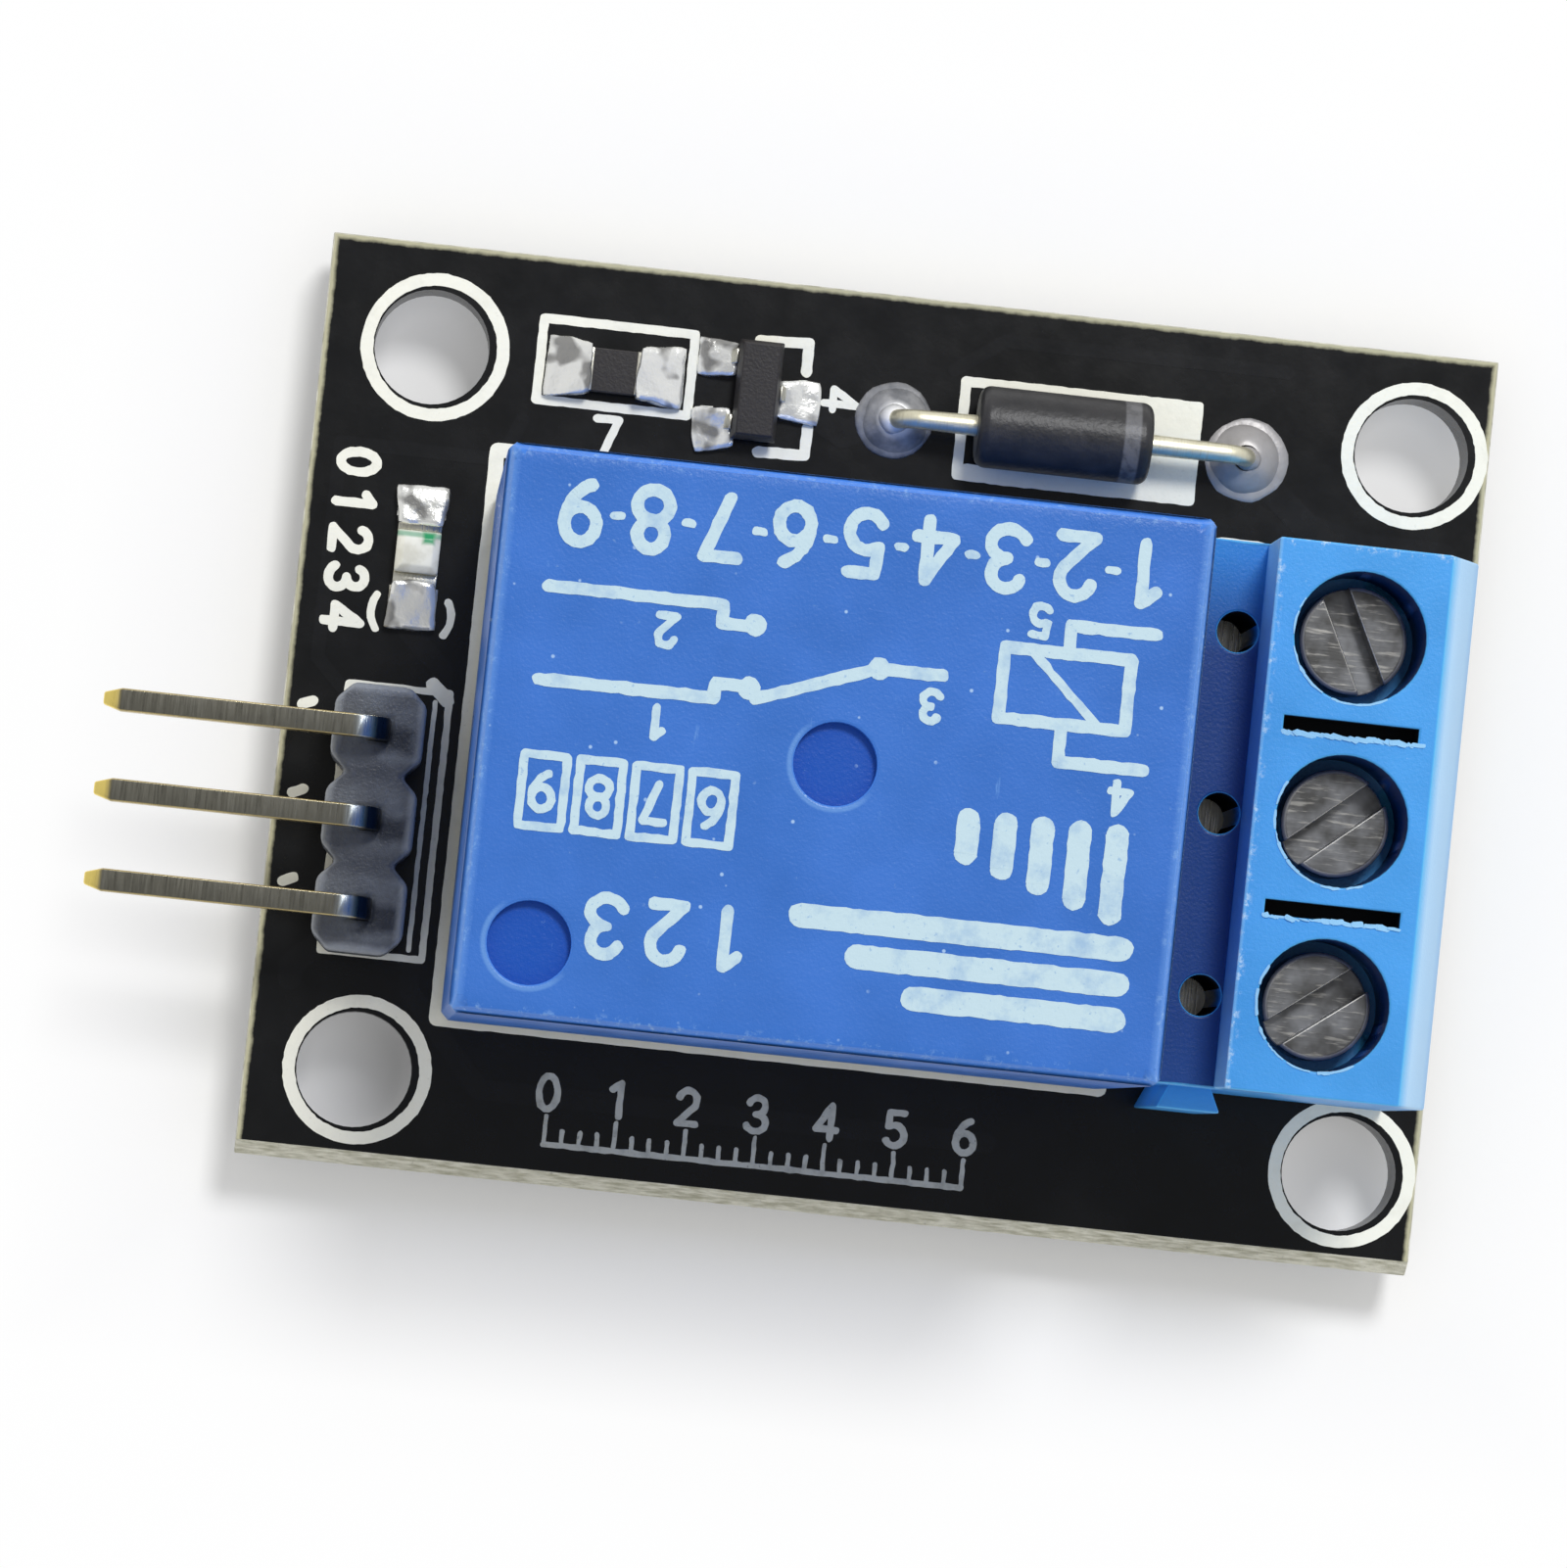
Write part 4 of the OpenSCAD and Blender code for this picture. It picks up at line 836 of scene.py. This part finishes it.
def dressTerminal():
    low, high = span("terminal_housing")
    deck = span("circuit_board")[1].z
    screws = screwPlaces()
    marks = [(a + b) / 2 for a, b in zip(screws, screws[1:])]

    def isMark(at, n):  # a slot between two wells
        reachX, reachY = terminal["markReach"]
        return terminal["markFloor"] < at.z < high.z - 0.05 and any(
            abs(at.x - m.x) < reachX and abs(at.y - m.y) < reachY for m in marks)

    def isShaft(at, n):  # a probe shaft behind the step
        inside = low.x + terminal["shaftBack"] < at.x < terminal["shaftFront"]
        tall = terminal["pitFloor"] < at.z < terminal["shaftTop"]
        wall = abs(n.z) < 0.9 or at.z < terminal["shaftRim"]
        return inside and tall and wall and any(abs(at.y - s.y) < terminal["shaftHalf"] for s in screws)

    def isWell(at, n):
        upright = terminal["pitFloor"] < at.z < high.z - 0.1 and abs(n.z) < 0.5
        return upright and any((at.xy - s.xy).length < terminal["wellWide"] / 2 + 0.02 for s in screws)

    # painted shade: marking slots and probe shafts in shadowBlack, the well walls in the darker blue
    def depths(bm):
        recolour(bm, 1, isMark)
        recolour(bm, 1, isShaft)
        recolour(bm, 2, isWell)

    def shaded(bm):  # the end of a pin at the bottom of its probe shaft
        recolour(bm, 1, lambda at, n: at.z > deck + 1 and n.z > 0.5 and at.x < terminal["shaftEnd"])
    dressed("terminal_housing", [terminalAzure, shadowBlack, wellShadeBlue], terminal["bevel"], "terminal_azure",
            change=depths, pick=isOuter)
    for i in (1, 2, 3):
        dressed("terminal_screw_%d" % i, zincScrew, terminal["screwBevel"], "zinc_screw", pick=isOuter)
        dressed("wire_clamp_%d" % i, nickel, terminal["clampBevel"], "nickel_clamp", pick=isOuter)
        dressed("terminal_pin_%d" % i, [tinned, shadowBlack], terminal["pinBevel"], "tinned_lead",
                change=shaded)


burr = {
    "seed": 7, "off": 0.03, "thick": 0.1, "run": (0.06, 0.3), "sway": (-0.06, 0.03), "line": (0.04, 0.17),
    "lift": (0.01, 0.05), "gap": (0.9, 1.3), "from": 150, "to": 290, "sweep": (6, 22),
    "rimLine": (0.04, 0.1), "rimLift": (0.0, 0.04), "rimGap": (1.0, 1.6), "rag": (0.03, 4),
}


def addBurrs():  # pale raised plastic beside the wells and the marking slots
    top = span("terminal_housing")[1].z
    screws = screwPlaces()
    dice = random.Random(burr["seed"])
    bm = bmesh.new()
    for a, b in zip(screws, screws[1:]):
        y = (a.y + b.y) / 2 - terminal["markWide"] / 2 - burr["off"]
        x = a.x - terminal["markLong"] / 2
        while x < a.x + terminal["markLong"] / 2 - 0.1:
            run = dice.uniform(*burr["run"])
            points = [(x, y), (x + run, y + dice.uniform(*burr["sway"]))]
            draw(bm, points, dice.uniform(*burr["line"]), top + dice.uniform(*burr["lift"]), burr["thick"])
            x += run * dice.uniform(*burr["gap"])
    radius = terminal["wellWide"] / 2 + burr["off"]
    for screw in screws:
        angle = burr["from"]
        while angle < burr["to"]:
            sweep = dice.uniform(*burr["sweep"])
            points = arc(screw.x, screw.y, radius, radius, angle, angle + sweep, 4)
            draw(bm, points, dice.uniform(*burr["rimLine"]), top + dice.uniform(*burr["rimLift"]),
                 burr["thick"])
            angle += sweep * dice.uniform(*burr["rimGap"])
    ragged(bm, *burr["rag"])
    laid("terminal_burrs", bm, "board", burrPale)


dressTerminal()
addBurrs()
print("stage: terminal")


# header, chips, diode and joints

header = {
    # grey: black, translucent plastic made lighter all over, a painted sheen
    "grey": (98, 102, 109), "milk": (118, 124, 132), "shade": (40, 44, 54), "joint": (62, 66, 76),
    "rim": (152, 157, 164), "milky": (1.5, 4, 0.55, 3.0, 0.45, 0.65, 0.7), "pitch": 2.54,
    "pin": (206, 188, 136), "pinWorn": (150, 134, 94), "pinTopReflection": (112, 112, 106), "paintedGlint": (172, 180, 184),
    "bend": (58, 60, 64), "tip": (250, 226, 130),
}


def headerFinish():
    cells = [middle("header_pin_%d" % i) for i in (1, 2, 3)]
    right, (low, high) = span("header_pin_2")[1].x, span("header_insulator")

    def patches(skin):
        x, y, z = skin.axes()
        wave = skin.cloud(1.4, 3, seed=8.0) - 0.5
        skin.coat(header["milk"], skin.flecks(*header["milky"]))
        for cell in cells:  # painted shadow beside each bend, and the darker joint between cells
            away = (x - right - 0.3 + wave).size().most((y - cell.y + 0.25 + 0.6 * wave).size() * 1.5)
            skin.coat(header["shade"], skin.slope(away, 0.3, 0.75, 0.9, 0))
            joint = (y - cell.y + header["pitch"] / 2 + 0.4 * wave).size()
            joint = joint.most((x - right + 0.4).size() * 0.3)
            skin.coat(header["joint"], skin.slope(joint, 0.12, 0.5, 0.6, 0))
        # painted highlight along the top edges of the insulator
        edge = (x - low.x).least(high.x - x).least((y - low.y).least(high.y - y))
        rim = skin.slope(edge + 0.3 * wave, 0.12, 0.3, 0.75, 0) * skin.slope(z, high.z - 0.4, high.z - 0.15)
        skin.coat(header["rim"], rim)
    return plasticSkin("headerGrey", header["grey"], rough=0.3, grain=0.03, speck=0.5, scale=4, edge=1.4,
                       extra=patches)


def pinFinish():
    low, high = span("header_pin_2")
    tip, bend = low.x, high.x

    def tones(metal):
        x = metal.axis("X")
        # painted dark reflection: the flat tops of the pins are made darker, except at the tips
        flat = metal.slope(metal.facing(), 0.9, 0.99)
        metal.coat(header["pinTopReflection"], 0.94 * flat * (x > tip + 0.42))
        # painted glint on the top of the bend
        paintedGlint = metal.slope((x - bend + 0.72).size(), 0.08, 0.34, 1, 0)
        metal.coat(header["paintedGlint"], 0.9 * paintedGlint)
        # painted shade where the pin curves down at the bend
        metal.coat(header["bend"], metal.slope(x, bend - 0.55, bend - 0.35))
        metal.coat(header["tip"], metal.slope(x, tip + 0.3, tip + 0.5, 1, 0))
    return metalFinish("giltPin", header["pin"], header["pinWorn"], 0.3, extra=tones)


lamp = {"lens": ((252, 251, 238), (232, 230, 214)), "line": (120, 178, 148), "spot": (24, 156, 96),
        "cream": (226, 218, 190)}


def lampFinish():
    low, high = span("lamp_lens")
    lens = Finish("lampLens", IOR=1.5, Roughness=0.35)
    x, y = lens.axis("X"), lens.axis("Y")
    line = lens.slope((y - (high.y - 0.12)).size(), 0.04, 0.12, 1, 0)
    spot = (x - (low.x + high.x) / 2 - 0.28).size().most((y - (high.y - 0.2)).size())
    light, dark = lamp["lens"]
    lens.base = lens.blend(light, dark, lens.slope(lens.cloud(2.0, 3), 0.4, 0.6))
    lens.coat(lamp["line"], 0.8 * line)
    lens.coat(lamp["spot"], lens.slope(spot, 0.1, 0.22, 1, 0))
    return lens.use()


diode = {"case": ((34, 34, 36), (50, 49, 50)), "band": (112, 112, 114), "bandAt": 0.62, "slim": 0.1,
         "reach": 0.1, "jointBevel": 0.012, "joint": ((116, 118, 122), (172, 172, 174)),
         "farHighlight": (176, 172, 170), "bright": (255, 255, 255)}


def diodeFinish():
    high = span("diode_body")[1]
    case = Finish("diodeCase", IOR=1.5, Roughness=0.42)
    band = case.slope((case.axis("X") - (high.x - diode["bandAt"])).size(), 0.2, 0.26, 1, 0)
    band = band * case.slope(case.cloud(3.0, 4), 0.3, 0.5, 0.35, 1)
    dark, light = diode["case"]
    case.base = case.blend(dark, light, case.slope(case.cloud(1.4, 4), 0.35, 0.65))
    case.coat(diode["band"], 0.85 * band)
    return case.use(Normal=case.bump(case.cloud(6.0, 3), 0.02))


def jointFinish():  # grey domes, with a painted white highlight where the near lead comes through and a paler painted highlight over the far dome
    low, high = span("diode_solder")
    y, reach = (low.y + high.y) / 2, (high.y - low.y) / 2
    joint = Finish("paleJoint", Metallic=0.3, Roughness=0.4)
    near, far = joint.away(low.x + reach, y), joint.away(high.x - reach, y)
    dark, light = diode["joint"]
    mottle = joint.slope(joint.cloud(1.8, 4, seed=23.0), 0.35, 0.65)
    joint.base = joint.blend(dark, light, mottle)
    joint.coat(diode["farHighlight"], joint.slope(far, 1.1, 1.5, 0.7, 0))
    joint.coat(diode["bright"], joint.slope(near, 0.25, 0.6, 1, 0))
    return joint.use(Normal=joint.bump(joint.cloud(3.0, 3), 0.02))


def solderFinish():  # bright tin, white with random darker patches, a painted dark reflection
    tin = Finish("solder", Metallic=0.72, Roughness=0.2)
    darkReflections = tin.flecks(1.3, 1.5, 0.55, 21.0, 0.52, 0.6, 0.75)
    tin.base = tin.blend((255, 255, 250), (112, 110, 108), darkReflections)
    return tin.use(Normal=tin.bump(tin.cloud(5.0, 3, seed=22.0), 0.02))


headerGrey = headerFinish()
giltPin = pinFinish()
chipBlack = plasticSkin("chipBlack", (44, 41, 41), rough=0.45, edge=1.2, scale=3)
lampLens = lampFinish()
lampCream = plasticSkin("lampCream", lamp["cream"], rough=0.5)
diodeCase = diodeFinish()
paleWire = metalFinish("paleWire", (250, 246, 222), (206, 198, 168), 0.42)
paleJoint = jointFinish()
solder = solderFinish()

smallParts = [  # node, finish, bevel, slot and, for a rounder edge, segments
    ("header_insulator", headerGrey, 0.16, "header_black", 3),
    *[("header_pin_%d" % i, giltPin, 0.05, "gilt_pin") for i in (1, 2, 3)],
    ("resistor_body", chipBlack, 0.03, "chip_black"),
    ("resistor_ends", tinned, 0.02, "tinned_lead"),
    ("lamp_base", lampCream, 0.03, "lamp_cream"),
    ("lamp_lens", lampLens, 0.05, "lamp_clear"),
    ("lamp_ends", tinned, 0.02, "lamp_gilt"),
    ("transistor_body", chipBlack, 0.04, "chip_black"),
    ("transistor_leads", tinned, 0.02, "tinned_lead"),
    ("diode_body", diodeCase, 0.12, "chip_black", 3),
]
joints = [("chip_solder", 0.012), ("relay_solder", 0.03), ("terminal_solder", 0.03), ("header_solder", 0.03)]


def dressSmall():
    for part in smallParts:
        dressed(*part)
    low, high = span("diode_body")
    centre, reach = (low.x + high.x) / 2, (high.x - low.x) / 2 + diode["reach"]

    def slim(bm):  # thinner wires, whose ends inside the body stay where they are
        bm.normal_update()
        for vert in bm.verts:
            drift = vert.normal * diode["slim"] * mm
            if abs(vert.co.x / mm - centre) < reach:
                drift.x = 0
            vert.co -= drift
    dressed("diode_wires", paleWire, 0, "tinned_lead", change=slim)
    dressed("diode_solder", paleJoint, diode["jointBevel"], "solder", pick=isOuter)
    for node, bevel in joints:
        dressed(node, solder, bevel, "solder")


lumps = {
    "cuts": 7, "smooth": 2, "spread": 0.2, "wobble": 0.06, "wobbleSize": 2.1,
    "fillets": [  # node, place from its middle, turn; then length, width and the two heights
        ("resistor_body", (-0.66, 0.02), 180, (1.3, 1.5, 0.66, 0.2)),
        ("resistor_body", (0.66, 0.02), 0, (1.35, 1.5, 0.66, 0.2)),
        ("lamp_base", (0, 0.78), 90, (1.15, 1.3, 0.5, 0.36)),
        ("lamp_base", (0, -0.82), -90, (1.4, 1.25, 0.5, 0.3)),
        ("transistor_body", (-0.62, 0.88), 180, (1.15, 0.95, 0.36, 0.14)),
        ("transistor_body", (-0.6, -1.08), 190, (1.15, 1.12, 0.36, 0.14)),
        ("transistor_body", (0.6, -0.14), 0, (1.25, 1.08, 0.36, 0.16)),
    ],
    "padIn": 1.0, "pads": ((1.12, 0.24, 0.44), (1.22, 0.12, 0.36)), "beadSunk": 0.05, "beadTall": 0.7,
    "padWobble": 0.05, "padWobbleSize": 1.9,
}


def fillet(bm, at, turn, long, wide, high, outer):  # solder that falls from a chip's end to its pad
    lump = bmesh.new()
    bmesh.ops.create_cube(lump, size=1)
    bmesh.ops.subdivide_edges(lump, edges=lump.edges[:], cuts=lumps["cuts"], use_grid_fill=True)
    for vert in lump.verts:
        along, up = vert.co.x + 0.5, vert.co.z + 0.5
        broad = wide * (1 + lumps["spread"] * along)
        vert.co = Vector((along * long, vert.co.y * broad, up * (high + (outer - high) * along)))
    for i in range(lumps["smooth"]):
        bmesh.ops.smooth_vert(lump, verts=lump.verts[:], factor=0.5, use_axis_x=True, use_axis_y=True,
                              use_axis_z=True)
    for vert in lump.verts:
        spot = vert.co * lumps["wobbleSize"] + Vector((at.x, at.y, 0))
        vert.co += lumps["wobble"] * noise.noise_vector(spot)
    place = Matrix.Translation(at) @ Matrix.Rotation(math.radians(turn), 4, "Z")
    bmesh.ops.transform(lump, matrix=place, verts=lump.verts[:])
    made = shapeOf("lump", lump)
    bm.from_mesh(made)
    bpy.data.meshes.remove(made)


def addLumps():  # rounded solder on the chips' ends, then on the diode's pads
    top = span("circuit_board")[1].z
    bm = bmesh.new()
    for node, (dx, dy), turn, sizes in lumps["fillets"]:
        centre = middle(node)
        fillet(bm, Vector((centre.x + dx, centre.y + dy, top)), turn, *sizes)
    laid("solder_lumps", bm, "board", solder, shaping["lumpSharp"])
    low, high = span("diode_solder")
    bm = bmesh.new()
    for x, (wide, deep, bead) in zip((low.x + lumps["padIn"], high.x - lumps["padIn"]), lumps["pads"]):
        beadTop, beadTall = high.z - lumps["beadSunk"], bead * lumps["beadTall"]
        for z, broad, tall in ((top, wide, deep), (beadTop, bead, beadTall)):
            place = Matrix.Translation((x, (low.y + high.y) / 2, z))
            bmesh.ops.create_uvsphere(bm, u_segments=28, v_segments=16, radius=1,
                                      matrix=place @ Matrix.Diagonal((broad, broad, tall, 1)))
    for vert in bm.verts:
        vert.co += lumps["padWobble"] * noise.noise_vector(vert.co * lumps["padWobbleSize"])
    laid("pad_rings", bm, "board", paleJoint, shaping["lumpSharp"])


dressSmall()
addLumps()
print("stage: small parts")


# camera, light and floor

studio = {
    "eye": (-14.48, -11.99, 214.75), "aim": (-2.854, -0.982, 1.6), "roll": 6.026,
    "lens": {"lens": 171.32, "sensor_width": 36, "sensor_fit": "HORIZONTAL", "clip_start": 0.01,
             "clip_end": 20},
    "keyPower": 3.1, "keySize": 200, "keyPlace": (130, 380, 670),
    "air": 0.64, "zenith": 0.3, "zenithFrom": (0.8, 0.97),
    "floorSize": 3.0, "floorTone": (254, 254, 254), "glowReach": (0.8, 6.5), "glowNear": 0.17,
    "glowFar": 0.93, "poolReach": (1.2, 2.5), "poolHalf": 1.2,
    "pools": ((0.1, -0.1), (0.22, 0.08), (0.22, 0.06), (0.3, 0.16)),  # light added left and right of a hole
}


def addCamera():
    eye = Vector(studio["eye"]) * mm
    forward = (Vector(studio["aim"]) * mm - eye).normalized()
    roll = math.radians(studio["roll"])
    hint = Vector((-math.sin(roll), math.cos(roll), 0))
    right = forward.cross(hint).normalized()
    up = right.cross(forward)
    lens = bpy.data.cameras.new("camera")
    for key, value in studio["lens"].items():
        setattr(lens, key, value)
    camera = added("camera", lens)
    camera.matrix_world = Matrix.Translation(eye) @ Matrix((right, up, -forward)).transposed().to_4x4()
    bpy.context.scene.camera = camera


def addKey():
    light = bpy.data.lights.new("key", "AREA")
    light.shape = "DISK"
    light.size = studio["keySize"] * mm
    light.energy = studio["keyPower"]
    spot = Vector(studio["keyPlace"]) * mm
    turn = spot.to_track_quat("Z", "Y").to_matrix().to_4x4()
    added("key", light).matrix_world = Matrix.Translation(spot) @ turn


def floorFinish():  # white to the camera, and darker near the board so that its shadow stays
    low, high = span("circuit_board")
    paper = Finish("paper", Roughness=0.9, Specular_IOR_Level=0.1)
    x, y = paper.axis("X"), paper.axis("Y")
    centre, half = (low + high) / 2, (high - low) / 2
    reach = ((x - centre.x).size() - half.x).most((y - centre.y).size() - half.y)
    glow = paper.slope(reach, *studio["glowReach"], studio["glowNear"], studio["glowFar"])
    side = studio["poolHalf"]
    for hole, (left, right) in zip(mountHoles(), studio["pools"]):  # a soft pool of light below each hole
        pool = paper.slope(paper.away(*hole), *studio["poolReach"], 1, 0)
        glow = glow + pool * paper.slope(x - hole[0], -side, side, left, right)
    seen = paper.node("ShaderNodeLightPath", {}, {}, "Is Camera Ray")
    for ray in ("Is Glossy Ray", "Is Transmission Ray"):
        seen = seen.most(paper.node("ShaderNodeLightPath", {}, {}, ray))
    white = paper.node("ShaderNodeEmission", {}, {"Color": (1, 1, 1, 1), "Strength": 1.0})
    surface = Wire(paper.tree, paper.shader.outputs[0])
    mixed = paper.node("ShaderNodeMixShader", {}, {0: glow * seen, 1: surface, 2: white})
    plug(paper.tree, paper.tree.nodes["Material Output"].inputs["Surface"], mixed)
    return paper.use(Base_Color=paint(*studio["floorTone"]))


def addFloor():
    bm = bmesh.new()
    bmesh.ops.create_grid(bm, x_segments=1, y_segments=1, size=studio["floorSize"])
    bmesh.ops.translate(bm, verts=bm.verts, vec=(0, 0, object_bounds()[0].z))
    floor = added("floor", shapeOf("floor", bm))
    floor.data.materials.append(floorFinish())


def addAir():
    world = bpy.data.worlds.new("air")
    bpy.context.scene.world = world
    world.use_nodes = True
    tree = world.node_tree
    back = tree.nodes["Background"]
    back.inputs["Color"].default_value = (1, 1, 1, 1)
    ray = tree.nodes.new("ShaderNodeTexCoord")
    height = tree.nodes.new("ShaderNodeSeparateXYZ")
    tree.links.new(ray.outputs["Generated"], height.inputs[0])
    fall = tree.nodes.new("ShaderNodeMapRange")  # a calmer patch overhead, where the viewer stands
    values = (*studio["zenithFrom"], studio["air"], studio["zenith"])
    for key, value in zip(("From Min", "From Max", "To Min", "To Max"), values):
        fall.inputs[key].default_value = value
    tree.links.new(height.outputs["Z"], fall.inputs["Value"])
    tree.links.new(fall.outputs[0], back.inputs["Strength"])


addCamera()
addKey()
addFloor()
addAir()
bpy.context.scene.view_settings.view_transform = "Standard"
print("stage: studio")
